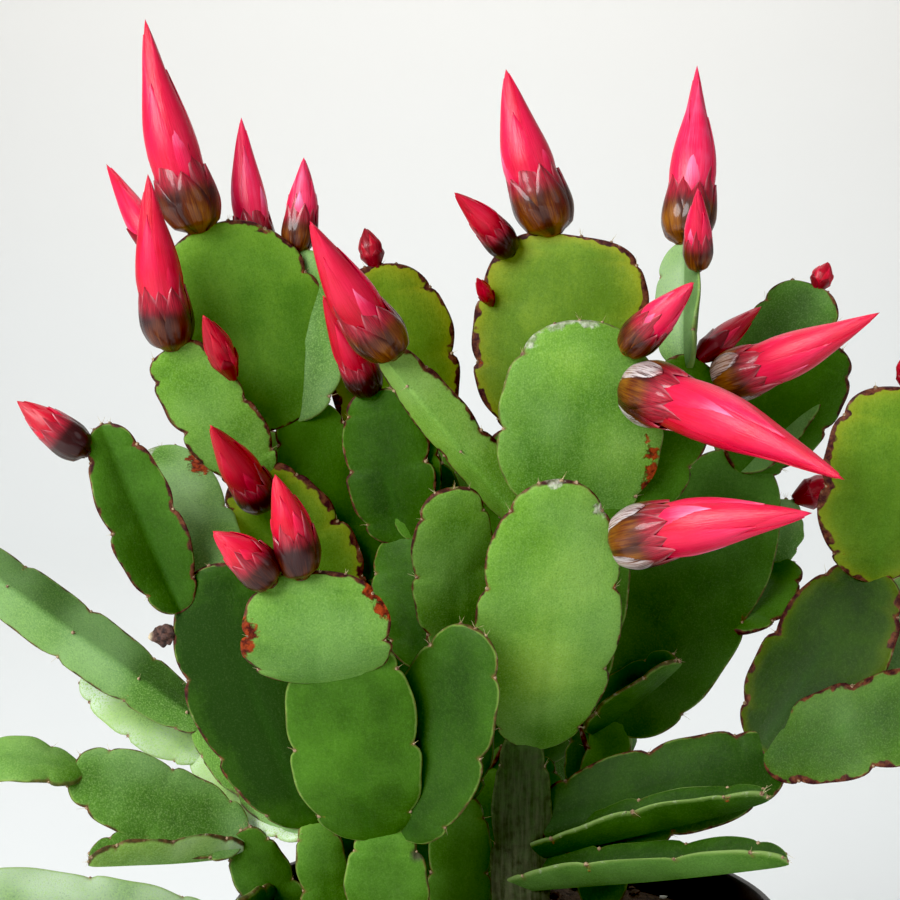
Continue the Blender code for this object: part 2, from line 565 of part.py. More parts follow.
# The nursery pot: a thin tapered wall, a deeper band below the rim, and six drain holes in its flat base.
BAND_FOOT = POT_HEIGHT - 16
BAND_IN = BASE_RADIUS + (RIM_RADIUS - 2.2 - BASE_RADIUS) * BAND_FOOT / POT_HEIGHT
profile = [(0, 0), (BASE_RADIUS - 1.2, 0), (BASE_RADIUS, 1.2), (BAND_IN, BAND_FOOT), (BAND_IN + 1.6, BAND_FOOT + 1.4),
           (RIM_RADIUS - 0.6, POT_HEIGHT - 3), (RIM_RADIUS, POT_HEIGHT - 2), (RIM_RADIUS - 0.5, POT_HEIGHT),
           (RIM_RADIUS - 2.1, POT_HEIGHT), (BAND_IN - 0.1, BAND_FOOT), (BASE_RADIUS - WALL, FLOOR), (0, FLOOR)]
pot = turned("pot", profile, 30, PLASTIC)
tidy(pot)
drains = []
for i in range(6):
    a = math.tau * (i + 0.5) / 6
    drains.append(prism(f"drain_{i}", Vector((28 * math.cos(a), 28 * math.sin(a), 0)), 4.2, -2, FLOOR + 2, PLASTIC, 8))
boolean(pot, drains, "DIFFERENCE")
tidy(pot)


def inside_radius(z):
    """The pot's inner radius at height z."""
    if z < BAND_FOOT:
        return BASE_RADIUS - WALL + (BAND_IN - 0.1 - BASE_RADIUS + WALL) * (z - FLOOR) / (BAND_FOOT - FLOOR)
    return BAND_IN - 0.1 + (RIM_RADIUS - 2.1 - BAND_IN + 0.1) * (z - BAND_FOOT) / (POT_HEIGHT - BAND_FOOT)


def lump(x, y):
    """The uneven top of the peaty soil."""
    return (0.55 * math.sin(0.21 * x + 0.7) * math.cos(0.19 * y - 0.4) + 0.35 * math.sin(0.43 * x - 0.3 * y)
            + 0.3 * math.cos(0.12 * x + 0.37 * y + 1.1))


# The soil: a plug that fills the pot, with a lumpy top and a plain hole for each stem.
SEG = 20
verts, faces, rings = [], [], []
for radius, height in ((BASE_RADIUS - WALL - 1.0, SOIL_BOTTOM),):
    rings.append([len(verts) + i for i in range(SEG)])
    verts += [(radius * math.cos(math.tau * i / SEG), radius * math.sin(math.tau * i / SEG), height) for i in range(SEG)]
for share in (1.0, 0.76, 0.5, 0.25):
    rings.append([len(verts) + i for i in range(SEG)])
    for i in range(SEG):
        r = share * (inside_radius(SOIL_TOP - 1) * math.cos(math.pi / 20) - GAP - 0.2)
        x, y = r * math.cos(math.tau * i / SEG), r * math.sin(math.tau * i / SEG)
        verts.append((x, y, SOIL_TOP - 1 if share == 1.0 else SOIL_TOP + lump(x, y) * 0.8))
verts.append((0, 0, SOIL_BOTTOM))
verts.append((0, 0, SOIL_TOP + lump(0, 0) * 0.8))
for low, high in zip(rings, rings[1:]):
    for i in range(SEG):
        j = (i + 1) % SEG
        faces.append((low[i], low[j], high[j], high[i]))
for i in range(SEG):
    j = (i + 1) % SEG
    faces.append((len(verts) - 2, rings[0][j], rings[0][i]))
    faces.append((len(verts) - 1, rings[-1][i], rings[-1][j]))
soil = make("soil", verts, faces, SOIL)
tidy(soil)
boolean(soil, holes, "DIFFERENCE")
tidy(soil)
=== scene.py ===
import random
from math import acos, atan2, copysign, cos, exp, hypot, pi, radians, sin, sqrt, tau

import bmesh
import bpy
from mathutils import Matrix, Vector


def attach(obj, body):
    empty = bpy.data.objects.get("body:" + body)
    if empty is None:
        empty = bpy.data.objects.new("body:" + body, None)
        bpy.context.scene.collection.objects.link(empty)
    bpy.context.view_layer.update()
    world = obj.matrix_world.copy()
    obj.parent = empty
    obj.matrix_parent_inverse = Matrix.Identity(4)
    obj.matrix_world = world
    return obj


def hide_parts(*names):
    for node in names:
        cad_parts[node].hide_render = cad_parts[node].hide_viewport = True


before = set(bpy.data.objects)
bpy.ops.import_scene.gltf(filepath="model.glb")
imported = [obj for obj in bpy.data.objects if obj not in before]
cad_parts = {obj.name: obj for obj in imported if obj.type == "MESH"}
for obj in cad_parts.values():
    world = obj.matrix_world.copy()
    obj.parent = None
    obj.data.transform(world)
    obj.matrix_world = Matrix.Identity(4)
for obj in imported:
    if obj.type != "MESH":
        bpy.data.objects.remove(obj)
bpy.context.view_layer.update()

# The view: level with the upper pads and an arm's length in front of them, looking a little down through a
# portrait lens. The plant is laid out on a drawing board, the upright plane through the pot's axis, in mm.
MM = 0.001
EYE = Vector((-11.7, -385, 235))


def added(name, data):
    """A new object in the scene."""
    made = bpy.data.objects.new(name, data)
    bpy.context.scene.collection.objects.link(made)
    return made


camera = added("view", bpy.data.cameras.new("view"))
camera.location = EYE * MM
camera.rotation_euler = (radians(86), 0, 0)
camera.data.lens = 72
camera.data.sensor_width = 36
camera.data.clip_start = 0.01
bpy.context.scene.camera = camera


# The studio: a sheet of pale matt card that lies under the pot and sweeps up far behind it, in an even pale
# room. A big soft light stands at the upper left, a weak one at the right, and one lights the sheet alone.
class Wire:
    """A number or colour on its way through a material, with arithmetic."""

    def __init__(self, tree, socket=None):
        self.tree = tree
        self.socket = socket

    def node(self, kind, settings, inputs, output=0):
        """Adds any node: its own settings first, then the values or wires of its sockets."""
        made = self.tree.nodes.new("ShaderNode" + kind)
        for name, value in settings.items():
            setattr(made, name, value)
        for name, value in inputs.items():
            if isinstance(value, Wire):
                self.tree.links.new(value.socket, made.inputs[name])
            elif isinstance(value, tuple) and made.inputs[name].type == "RGBA":
                made.inputs[name].default_value = (*value, 1)
            else:
                made.inputs[name].default_value = value
        return Wire(self.tree, made.outputs[output])

    def maths(self, operation, first, second=0):
        return self.node("Math", {"operation": operation}, {0: first, 1: second})

    def __add__(self, other):
        return self.maths("ADD", self, other)

    def __radd__(self, other):
        return self.maths("ADD", other, self)

    def __sub__(self, other):
        return self.maths("SUBTRACT", self, other)

    def __rsub__(self, other):
        return self.maths("SUBTRACT", other, self)

    def __mul__(self, other):
        return self.maths("MULTIPLY", self, other)

    def between(self, low, high):
        """0 at low, 1 at high, with a soft start and end."""
        return self.node("MapRange", {"interpolation_type": "SMOOTHSTEP"},
                         {"Value": self, "From Min": low, "From Max": high})

    def tint(self, under, over):
        """This wire lays the colour over on the colour under."""
        return self.node("Mix", {"data_type": "RGBA"}, {0: self, 6: under, 7: over}, 2)

    def ramp(self, *stops):
        """A colour that follows this wire through stops, each a place from 0 to 1 and its colour."""
        made = self.node("ValToRGB", {}, {"Fac": self})
        band = made.socket.node.color_ramp.elements
        for extra in stops[2:]:
            band.new(0.5)
        for stop, (place, colour) in zip(band, stops):
            stop.position = place
            stop.color = (*colour, 1)
        return made

    def mark(self, name):
        """A value that the mesh carries at each of its points."""
        return self.node("Attribute", {"attribute_name": name}, {}, "Fac")

    def grain(self, scale, detail=2, roughness=0.5, place=None):
        """Soft noise between 0 and 1; scale is in grains per metre unless another place is given."""
        place = place or self.node("TexCoord", {}, {}, "Object")
        return self.node("TexNoise", {}, {"Vector": place, "Scale": scale, "Detail": detail,
                                          "Roughness": roughness})


def finish_of(name, roughness, **fixed):
    """A new material, and the start of its wires."""
    made = bpy.data.materials.new(name)
    made.use_nodes = True
    shader = made.node_tree.nodes["Principled BSDF"]
    shader.inputs["Roughness"].default_value = roughness
    for socket, value in fixed.items():
        shader.inputs[socket.replace("_", " ")].default_value = value
    return made, Wire(made.node_tree)


def plug(wire, socket):
    """Leads a wire into the shader of its material."""
    wire.tree.links.new(wire.socket, wire.tree.nodes["Principled BSDF"].inputs[socket])


card, wires = finish_of("pale card", 0.9)
height = wires.node("SeparateXYZ", {}, {0: wires.node("TexCoord", {}, {}, "Object")}, 2)
warmth = (height + wires.grain(4) * 0.2).between(-0.1, 0.9)
plug(warmth.tint((0.84, 0.87, 0.87), (0.89, 0.875, 0.84)), "Base Color")
CURVE_START = 1.4
CURVE_RADIUS = 0.7
bm = bmesh.new()
bmesh.ops.create_grid(bm, x_segments=2, y_segments=60, size=3.4)
for vert in bm.verts:
    beyond = vert.co.y - CURVE_START
    if beyond > 0:
        turn = min(beyond / CURVE_RADIUS, pi / 2)
        vert.co.y = CURVE_START + CURVE_RADIUS * sin(turn)
        vert.co.z = CURVE_RADIUS * (1 - cos(turn)) + max(beyond - CURVE_RADIUS * pi / 2, 0) * 2
sweep = added("sweep", bpy.data.meshes.new("sweep"))
bm.to_mesh(sweep.data)
bm.free()
sweep.data.shade_smooth()
sweep.data.materials.append(card)

room = bpy.data.worlds.new("room")
room.use_nodes = True
room.node_tree.nodes["Background"].inputs["Color"].default_value = (0.95, 0.98, 1, 1)
room.node_tree.nodes["Background"].inputs["Strength"].default_value = 0.21
bpy.context.scene.world = room
look = bpy.context.scene.view_settings
look.view_transform = "Standard"
look.use_curve_mapping = True
look.curve_mapping.black_level = (0.007, 0.007, 0.007)
look.curve_mapping.update()
for name, place, aim, size, power in (("window", (-0.7, -0.82, 0.76), (0, 0, 0.2), 0.8, 21.5),
                                      ("room_right", (1, -0.8, 0.8), (0, 0, 0.2), 0.8, 2),
                                      ("wall", (0, 0.9, 1.7), (0, 2.1, 0.3), 1.6, 18.5)):
    light = added(name, bpy.data.lights.new(name, "AREA"))
    light.data.shape = "DISK"
    light.data.size = size
    light.data.energy = power
    light.location = place
    light.rotation_euler = (Vector(aim) - Vector(place)).to_track_quat("-Z", "Y").to_euler()


# The pot: a thin nursery pot, injection moulded in black-brown plastic. Its wall tapers to a flat base with
# six drain holes, and below the rim it steps out into a deep band that stiffens it.
def piece(name, bm, *materials, angle=40):
    """Finishes a mesh modelled in millimetres as a piece of the object."""
    bmesh.ops.scale(bm, vec=(MM, MM, MM), verts=bm.verts)
    mesh = bpy.data.meshes.new(name)
    bm.to_mesh(mesh)
    bm.free()
    mesh.shade_smooth()
    mesh.set_sharp_from_angle(angle=radians(angle))
    for finish in materials:
        mesh.materials.append(finish)
    made = added(name, mesh)
    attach(made, "root")
    return made


def turned(bm, profile, steps):
    """Turns a line of (radius, height) points about the upright axis; returns the new points."""
    before = set(bm.verts)
    line = [bm.verts.new((radius, 0, height)) for radius, height in profile]
    edges = [bm.edges.new(pair) for pair in zip(line, line[1:])]
    bmesh.ops.spin(bm, geom=line + edges, axis=(0, 0, 1), cent=(0, 0, 0), angle=tau, steps=steps,
                   use_merge=True)
    bmesh.ops.remove_doubles(bm, verts=[vert for vert in bm.verts if vert not in before], dist=1e-4)
    return [vert for vert in bm.verts if vert not in before]


def emboss(height, strength, relief):
    """Lets a wire's ups and downs stand out of the surface, by relief in metres."""
    plug(height.node("Bump", {}, {"Height": height, "Strength": strength, "Distance": relief}), "Normal")


RIM_RADIUS = 60
POT_HEIGHT = 108
BASE_RADIUS = 43
WALL = 1.5
FLOOR = 2.5
BAND_DEPTH = 16
DRAINS = 6
DRAIN_RADIUS = 4.2
DRAIN_RING = 28
BAND_FOOT = POT_HEIGHT - BAND_DEPTH
BAND_IN = BASE_RADIUS + (RIM_RADIUS - 2.2 - BASE_RADIUS) * BAND_FOOT / POT_HEIGHT
plastic, wires = finish_of("pot plastic", 0.42, Specular_IOR_Level=0.45)
scuff = wires.grain(420, 4, 0.6)
dust = wires.grain(38, 3).between(0.45, 0.75)
plug((dust * 0.35).tint((0.022, 0.014, 0.013), (0.075, 0.058, 0.048)), "Base Color")
plug(0.34 + scuff * 0.2 + dust * 0.12, "Roughness")
emboss(wires.grain(900, 2), 0.5, 0.00012)
bm = bmesh.new()
foot = [(BASE_RADIUS + out, up) for out, up in ((-1.6, 0), (-0.5, 0.3), (0, 1.2), (0.4, 4))]
band = [(BAND_IN + out, BAND_FOOT + up) for out, up in ((-0.1, -1), (0, 0), (1.1, 0.5), (1.6, 1.4))]
rim = [(RIM_RADIUS - thin, POT_HEIGHT - down) for thin, down in (
    (0.9, 4), (0.3, 3.2), (0, 2.2), (0.05, 0.8), (0.5, 0.15), (1.2, 0), (1.8, 0.2), (2.1, 0.9), (2.4, 4))]
INSIDE = BASE_RADIUS - WALL
lining = [(BAND_IN - 0.1, BAND_FOOT), (INSIDE, FLOOR + 1), (INSIDE - 1, FLOOR), (0, FLOOR)]
turned(bm, [(0, 0), (30, 0)] + foot + band + rim + lining, 120)
bmesh.ops.recalc_face_normals(bm, faces=bm.faces)
pot = piece("pot_moulded", bm, plastic, angle=32)
bm = bmesh.new()
for i in range(DRAINS):
    a = tau * (i + 0.5) / DRAINS
    drill = bmesh.ops.create_cone(bm, cap_ends=True, segments=32, radius1=DRAIN_RADIUS, radius2=DRAIN_RADIUS,
                                  depth=9)
    bmesh.ops.translate(bm, verts=drill["verts"], vec=(DRAIN_RING * cos(a), DRAIN_RING * sin(a), 2))
drills = piece("drills", bm, plastic)
cut = pot.modifiers.new("drain holes", "BOOLEAN")
cut.operation = "DIFFERENCE"
cut.object = drills
bpy.context.view_layer.update()
drilled = bpy.data.meshes.new_from_object(pot.evaluated_get(bpy.context.evaluated_depsgraph_get()))
pot.modifiers.remove(cut)
pot.data = drilled
bpy.data.objects.remove(drills)
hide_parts("pot")


# The soil: moist brown peat that fills the pot to a finger's breadth below the rim, with crumbs of peat,
# bits of bark and white grains of perlite lying on top.
SOIL_TOP = 99
peat, wires = finish_of("peat", 0.95)
crumb = wires.grain(700, 6, 0.7)
damp = wires.grain(60, 2).between(0.35, 0.7)
wet = damp.tint((0.022, 0.013, 0.009), (0.04, 0.024, 0.015))
plug(crumb.between(0.35, 0.7).tint(wet, (0.12, 0.072, 0.042)), "Base Color")
plug(0.98 - damp * 0.2, "Roughness")
emboss(crumb, 1, 0.0009)
perlite, wires = finish_of("perlite", 0.8)
plug(wires.grain(900, 3).between(0.35, 0.7).tint((0.46, 0.43, 0.37), (0.78, 0.76, 0.7)), "Base Color")


def lump(x, y):
    """The uneven top of the peat."""
    return (0.55 * sin(0.21 * x + 0.7) * cos(0.19 * y - 0.4) + 0.35 * sin(0.43 * x - 0.3 * y)
            + 0.3 * cos(0.12 * x + 0.37 * y + 1.1))


def dye(verts, finish):
    """Gives the faces round some points another of the piece's materials, by its number."""
    for face in {face for vert in verts for face in vert.link_faces}:
        face.material_index = finish


CRUMBS = 320
CRUMB_BED = 52
bm = bmesh.new()
dice = random.Random(5)
for i in range(CRUMBS):
    r, a = CRUMB_BED * sqrt(dice.random()), tau * dice.random()
    x, y = r * cos(a), r * sin(a)
    white = dice.random() < 0.26
    size = dice.uniform(0.5, 1.3) if white else dice.uniform(0.6, 2)
    grain = bmesh.ops.create_icosphere(bm, subdivisions=1, radius=size)["verts"]
    for vert in grain:
        vert.co *= dice.uniform(0.75, 1.2)
    bmesh.ops.scale(bm, verts=grain, vec=(1, dice.uniform(0.6, 1), dice.uniform(0.45, 0.8)))
    bmesh.ops.translate(bm, verts=grain, vec=(x, y, SOIL_TOP + 0.8 * lump(x, y) + size * 0.25))
    if white:
        dye(grain, 1)
ball = bmesh.ops.create_uvsphere(bm, u_segments=96, v_segments=64, radius=1)["verts"]
SOIL_RADIUS = BAND_IN - 0.1 + (RIM_RADIUS - 2.1 - BAND_IN) * (SOIL_TOP - 1 - BAND_FOOT) / BAND_DEPTH - 0.7
for vert in ball:
    polar = acos(max(-1, min(1, vert.co.z)))
    ring = hypot(vert.co.x, vert.co.y)
    x, y = (vert.co.x / ring, vert.co.y / ring) if ring > 1e-6 else (0, 0)
    if polar < pi / 2 + 0.01:
        share = min(polar / (pi / 2), 1)
        r = SOIL_RADIUS * share
        rough = 0.5 * sin(0.9 * r * x + 1.3) * sin(1.1 * r * y) + 0.25 * sin(1.61 * r * x + 1.9 * r * y)
        z = SOIL_TOP + 0.8 * lump(r * x, r * y) + rough * (1 - share ** 8) - 1.6 * share ** 12
    else:
        down = (polar - pi / 2) / (pi / 2)
        z = SOIL_TOP - 2 - (SOIL_TOP - 5) * min(down * 2, 1)
        r = INSIDE - 1 + (SOIL_RADIUS - INSIDE + 1) * (z - 3) / (SOIL_TOP - 5)
        r *= min(1, 2 * (1 - down))
    vert.co = (r * x, r * y, z)
soil = piece("soil_top", bm, peat, perlite, angle=50)
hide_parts("soil")


# The flat stem segments, called pads. Each is a fleshy green blade with a waxy skin and a scalloped margin;
# the margin is a thin red-brown rim on pads that had sun, and old pads turn corky at the foot.

# An outline says how slowly a pad widens from its foot and narrows to its top: less is fuller.
OUTLINES = {
    "round": (0.95, 0.62), "egg": (0.85, 0.8), "strap": (0.6, 0.5), "full": (0.65, 0.6),
    "lance": (0.55, 0.85), "crown": (0.85, 0.5),
}
# A look is the tone from deep to light green, the frost of pale wax with a painted sheen, the blush of
# purple-brown on the margin, below 0 a pale margin partly painted as a lit rim, and cork of old bark if any.
LOOKS = {
    "fresh": (0.58, 0.5, 0.28), "worn": (0.62, 0.45, 0.5), "ridge": (0.78, 0.5, 0.5),
    "bright": (0.6, 0.4, 0.35), "front": (0.56, 0.08, 0.64), "leaf": (0.25, 0.03, 0.25),
    "mid": (0.38, 0.05, 0.4), "glossy": (0.12, 0.03, 0.3), "edged": (0.22, 0.03, 0.55),
    "deep": (0.14, 0, 0.4), "dark": (0, 0, 0.42), "broad": (0.2, 0.16, 0.3), "russet": (0.04, 0, 0.7),
    "dull": (0.26, 0.3, 0.66), "olive": (0.5, 0.05, 0.78), "light": (0.52, 0.05, 1),
    "yellow": (0.54, 0.4, 0.4), "sunny": (0.52, 0, 0.92), "pale": (0.52, 0.9, 0.2), "chalk": (0.9, 2.2, 0.1),
    "silver": (0.55, 1.3, 0.1), "satin": (0.45, 1, 0.1), "arm": (0.44, 0.8, 0.32), "bloomy": (0.3, 0.5, 0.4),
    "dusk": (0, 0.06, 0.4), "gutter": (-0.02, 0.03, -0.5), "shade": (0.18, 0.06, 0.3),
    "foot": (0.36, 0.12, 0.3, 0.3), "bark": (0.14, 0.14, 0.2, 0.66),
}
EDGE = 1.2


def ease(share):
    """Softly from 0 to 1."""
    share = min(max(share, 0), 1)
    return share * share * (3 - 2 * share)


def seen(x, z, depth):
    """The place in space that shows at (x, z) on the drawing board and lies depth behind it."""
    return EYE + (Vector((x, 0, z)) - EYE) * ((depth - EYE.y) / -EYE.y)


class Pad:
    """One pad, from its base to its tip. Turn and fold are in degrees, a spot is (x, z, size, mark); a tone
    spot is a painted highlight, a lighter patch.
    """
    count = 0

    def __init__(self, base, tip, width, look, turn=0, bow=0, fold=0, thick=3, lobes=0, shape="round",
                 spots=(), sides=0, coarse=False):
        Pad.count += 1
        self.number = Pad.count
        self.base, self.tip = base, tip
        self.length = (tip - base).length
        self.axis = (tip - base).normalized()
        middle = (base + tip) / 2
        look_at = (EYE - middle).normalized()
        face = (look_at - self.axis * look_at.dot(self.axis)).normalized()
        side = self.axis.cross(face)
        angle = radians(turn)
        self.face = face * cos(angle) + side * sin(angle)
        self.side = side * cos(angle) - face * sin(angle)
        self.half = width / 2 * (middle.y - EYE.y) / -EYE.y
        self.swell, self.close = OUTLINES[shape]
        self.bow, self.fold, self.thick = bow, radians(fold), thick
        self.lobes = lobes or (3 if self.length < 30 else 4 if self.length < 52 else 5)
        self.look, self.coarse, self.spots, self.sides = LOOKS[look], coarse, spots, sides

    def tooth(self, t):
        """1 in a notch of the margin: a lobe widens slowly from its foot and rounds off sharply."""
        share = (t * self.lobes) % 1
        return (1 - 2 * share) ** 3 if share < 0.5 else (2 * share - 1) ** 8

    def half_width(self, t, sign):
        """Half the width at t, 0 at the base and 1 at the tip, with the rounded teeth of the margin."""
        bulge = sin(pi * t) ** (self.swell if t < 0.5 else self.close)
        uneven = 1 + 0.05 * sin(2.4 * t + 1.7 * self.number + (0.9 if sign > 0 else 2.3))
        notch = min(1.5, 0.15 * self.half) * self.tooth(t) * sin(pi * t)
        rough = 0.13 * sin(41 * t + 3.1 * self.number + sign) * sin(pi * t)
        return max(self.half * bulge * uneven - notch + rough, 0)

    def point(self, t, across, lift=0):
        """A point of the pad's middle sheet: t along it, across from -1 to 1, lift off the sheet."""
        u = (1 - cos(pi * t)) / 2
        width = self.half_width(min(max(t, 1e-5), 1 - 1e-5), across) * abs(across)
        wave = 0.5 * sin(tau * (1.5 * u + 0.37 * self.number)) * across * across * sin(pi * t)
        out = sin(self.fold) * width + self.bow * 4 * u * (1 - u) + wave + lift
        return (self.base + self.axis * (self.length * u)
                + self.side * copysign(cos(self.fold) * width, across) + self.face * out)

    def shows_at(self, p):
        """Where a place in space shows on the drawing board."""
        flat = EYE + (p - EYE) * (-EYE.y / (p.y - EYE.y))
        return flat.x, flat.z

    def nearest(self, x, z, reach, side=0):
        """The place on the pad that shows nearest to (x, z) on the board; reach 1 is out to the margin."""
        best = None
        for i in range(61):
            t = 0.2 + (0.8 - 0.17 * (1 - reach) / 0.15) * i / 60
            for k in range(-10, 11):
                if k * side < 0:
                    continue
                p = self.point(t, k / 10 * reach if k else 1e-6)
                across, up = self.shows_at(p)
                gap = hypot(across - x, up - z)
                if best is None or gap < best[0] - 1e-6:
                    best = (gap, p)
        return best[1]

    def rib(self, t):
        """Half the thickness along the midrib."""
        return max(self.thick / 2 * sin(pi * min(max(t, 0.06), 0.96)) ** 0.35, EDGE / 2 + 0.05)

    def skin(self, bm, marks):
        """The pad's skin: a ball drawn out from base to tip and pressed to a lens with a blunt rim."""
        around, along = (32, 36) if self.coarse else (48, 60)
        ball = bmesh.ops.create_uvsphere(bm, u_segments=around, v_segments=along, radius=1)["verts"]
        for vert in ball:
            t = acos(max(-1, min(1, -vert.co.z))) / pi
            ring = hypot(vert.co.x, vert.co.y)
            across, lift = (vert.co.x / ring, vert.co.y / ring) if ring > 1e-6 else (1e-6, 0)
            flesh = EDGE / 2 * sqrt(max(1 - across ** 8, 0))
            flesh += (self.rib(t) - EDGE / 2) * (1 - across * across) ** 1.3
            u = (1 - cos(pi * t)) / 2
            rise = sin(pi * t)
            crease = 0.3 * exp(-(across * self.half / 1.1) ** 2) * rise * (1.1 - u)
            crease += 0.22 * self.tooth(t) * across * across * (1 - across ** 4) * rise
            flesh += 0.14 * sin(7 * u + 1.3 * self.number) * cos(2.6 * across + self.number) * rise
            away = copysign(max(flesh - crease * (abs(lift) > 0.5), 0.05), lift)
            vert.co = self.point(t, across, away)
            wide = self.half_width(t, across)
            step = 0.004
            slope = self.half_width(min(t + step, 1), across) - self.half_width(max(t - step, 0), across)
            run = self.length * pi * rise * step + 1e-4
            vert[marks["edge"]] = wide * (1 - abs(across)) / sqrt(1 + (slope / run) ** 2)
            vert[marks["along"]] = u
            vert[marks["middle"]] = across * wide
            vert[marks["notch"]] = self.tooth(t)
            for name, value in zip(("tone", "frost", "blush_and_highlight", "cork"), self.look):
                vert[marks[name]] = value
            # painted light and shade on the two faces: one face is painted darker and less pale, the other
            # lighter
            turned_away = -(lift < 0) if self.fold > 0.8 else max(min(across * 8, 1), -0.4)
            vert[marks["tone"]] -= self.sides * turned_away
            vert[marks["frost"]] -= max(self.sides - 0.15, 0) * 1.6 * turned_away
            for x, z, size, mark in self.spots:
                flat = self.shows_at(vert.co)
                near = max(1 - hypot(flat[0] - x, flat[1] - z) / size, 0)
                # a tone spot is a painted highlight: a lighter patch where the light falls
                if mark == "tone":
                    vert[marks["tone"]] += 0.22 * ease(near)
                else:
                    vert[marks[mark]] = max(vert[marks[mark]], near)

    def felt(self, bm, dice):
        """The areoles: a dot of brown felt in each notch and along the tip, with a few pale bristles."""
        notches = [k / self.lobes for k in range(1, self.lobes)]
        areoles = [(t, sign, 0, dice.randint(0, 1)) for t in notches for sign in (1, -1)]
        areoles += [(0.93 + 0.025 * dice.random(), sign, 0, dice.randint(0, 2)) for sign in (1, -1)]
        areoles.append((0.985, 0.3, 0, 3))
        if self.fold < -0.4:
            areoles += [(t, 1e-6, 1, 1) for t in notches]
        for t, across, crest, bristles in areoles:
            place = self.point(t, across, self.rib(t) * crest)
            out = (self.side * copysign(1, across) * (1.1 - t) + self.axis * (0.25 + t * t)).normalized()
            out = out.lerp(self.face, crest)
            dot = bmesh.ops.create_icosphere(bm, subdivisions=1, radius=dice.uniform(0.34, 0.58))["verts"]
            bmesh.ops.translate(bm, verts=dot, vec=place - out * 0.1)
            dye(dot, 1)
            for i in range(bristles + (dice.random() < 0.5)):
                reach = dice.uniform(0.7, 2.3)
                hair = bmesh.ops.create_cone(bm, cap_ends=False, segments=4, radius1=0.055, radius2=0.015,
                                             depth=reach)["verts"]
                way = out + Vector([dice.uniform(-0.75, 0.75) for axis in range(3)])
                bmesh.ops.rotate(bm, verts=hair, matrix=way.to_track_quat("Z", "Y").to_matrix())
                bmesh.ops.translate(bm, verts=hair, vec=place + way.normalized() * (reach / 2 - 0.1))
                dye(hair, 2)


skin, wires = finish_of("pad skin", 0.4, Specular_IOR_Level=0.11, Subsurface_Weight=0.05,
                        Subsurface_Scale=0.0015, Subsurface_Radius=(0.5, 1, 0.1))
edge, along, middle = wires.mark("edge"), wires.mark("along"), wires.mark("middle")
notch, tone, frost = wires.mark("notch"), wires.mark("tone"), wires.mark("frost")
blush_and_highlight, cork, sore = wires.mark("blush_and_highlight"), wires.mark("cork"), wires.mark("sore")
mottle, cloud = wires.grain(170, 4, 0.6), wires.grain(42, 2)
pore, ragged, beads = wires.grain(2900, 2, 0.6), wires.grain(650, 3, 0.6), wires.grain(300, 2)
fleck = wires.grain(1250, 3, 0.65)
streak = wires.grain(1, 3, 0.6, wires.node("CombineXYZ", {}, {"X": middle * 1.1, "Y": along * 5}))
# the living green: mottled and streaked, with painted shade at the foot and a painted glow along the margin,
# and golden where the sun reached it, with more painted glow
# darker towards the foot and lighter towards the tip: painted shade where each pad sits behind its parent
shade = tone + (mottle - 0.5) * 0.26 + (cloud - 0.5) * 0.45 + (streak - 0.5) * 0.06 + (along - 0.5) * 0.12
# lighter along the margin: a painted glow of light through the thin edge
shade = shade + (1 - edge.between(0.3, 7)) * 0.1 - 0.03 + (fleck - 0.5) * (0.2 + frost * 0.16)
green = shade.ramp((0, (0.011, 0.037, 0.002)), (0.25, (0.03, 0.09, 0.004)), (0.5, (0.063, 0.175, 0.01)),
                   (0.75, (0.135, 0.3, 0.02)), (1, (0.25, 0.43, 0.04)))
# golden in the margin: partly the sun-yellowed skin, partly a painted glow of light through the thin edge
sunny = blush_and_highlight.between(0, 1)
sun_yellow_and_glow = wires.node("VectorMath", {"operation": "MULTIPLY"}, {0: green, 1: (2.1, 1.12, 1)})
green = (sunny.between(0.65, 1) * (0.95 - edge.between(1, 9) * 0.5)).tint(green, sun_yellow_and_glow)
# over it the pale wax with a painted sheen, the light and dark pores, and a dark line along the middle,
# painted shade in its crease
# the wax is partly real bloom and partly a painted sheen; at high frost it also paints pads that stand in
# shade lighter
wax_and_sheen = (frost - 0.7).between(0, 0.8).tint((0.22, 0.38, 0.15), (0.5, 0.61, 0.45))
green = (frost * (0.1 + cloud.between(0.35, 0.7) * 0.7)).tint(green, wax_and_sheen)
green = ((pore - 0.5).between(-0.04, 0.22) * (0.04 + frost * tone * 0.8)).tint(green, (0.3, 0.48, 0.15))
green = ((0.5 - pore).between(0.02, 0.3) * 0.35).tint(green, (0.012, 0.06, 0.004))
rib_shade_line = (1 - middle.maths("ABSOLUTE", middle).between(0.1, 1.8)) * (1 - along.between(0.4, 0.8)) * 0.12
green = rib_shade_line.tint(green, (0.025, 0.11, 0.004))
# the margin: a warm band and a pale lip, both partly painted light, and the brown line that swells in beads
# the warm band: partly sun-yellowed skin, partly a painted glow of light through the thin edge
warm_band_and_glow = (1 - (edge - beads * 2.6).between(-0.8, 2.2)) * sunny.between(0.7, 0.95) * 0.5
green = warm_band_and_glow.tint(green, (0.26, 0.26, 0.01))
paled = wires.maths("LESS_THAN", blush_and_highlight)
# the pale lip: partly the rim's own colour, partly a painted highlight where the rim catches the light
lip_and_highlight = (1 - (edge - ragged * 0.5).between(-0.1, 0.35)) * (0.55 - paled * 0.3)
green = lip_and_highlight.tint(green, (0.24, 0.37, 0.08))
width = sunny * (beads.between(0.34, 0.68) * 1.7 + ragged * 0.7) - 0.1 + paled * 0.08
rim_line = (1 - (edge - width).between(-0.15, 0.3)) * (sunny + paled).between(0, 0.3)
rim_tone = ragged.between(0.38, 0.7).tint((0.038, 0.009, 0.011), (0.15, 0.05, 0.022))
# on pale margins the line is pale, partly a painted highlight on the lit rim
green = rim_line.tint(green, paled.tint(rim_tone, (0.22, 0.32, 0.1)))
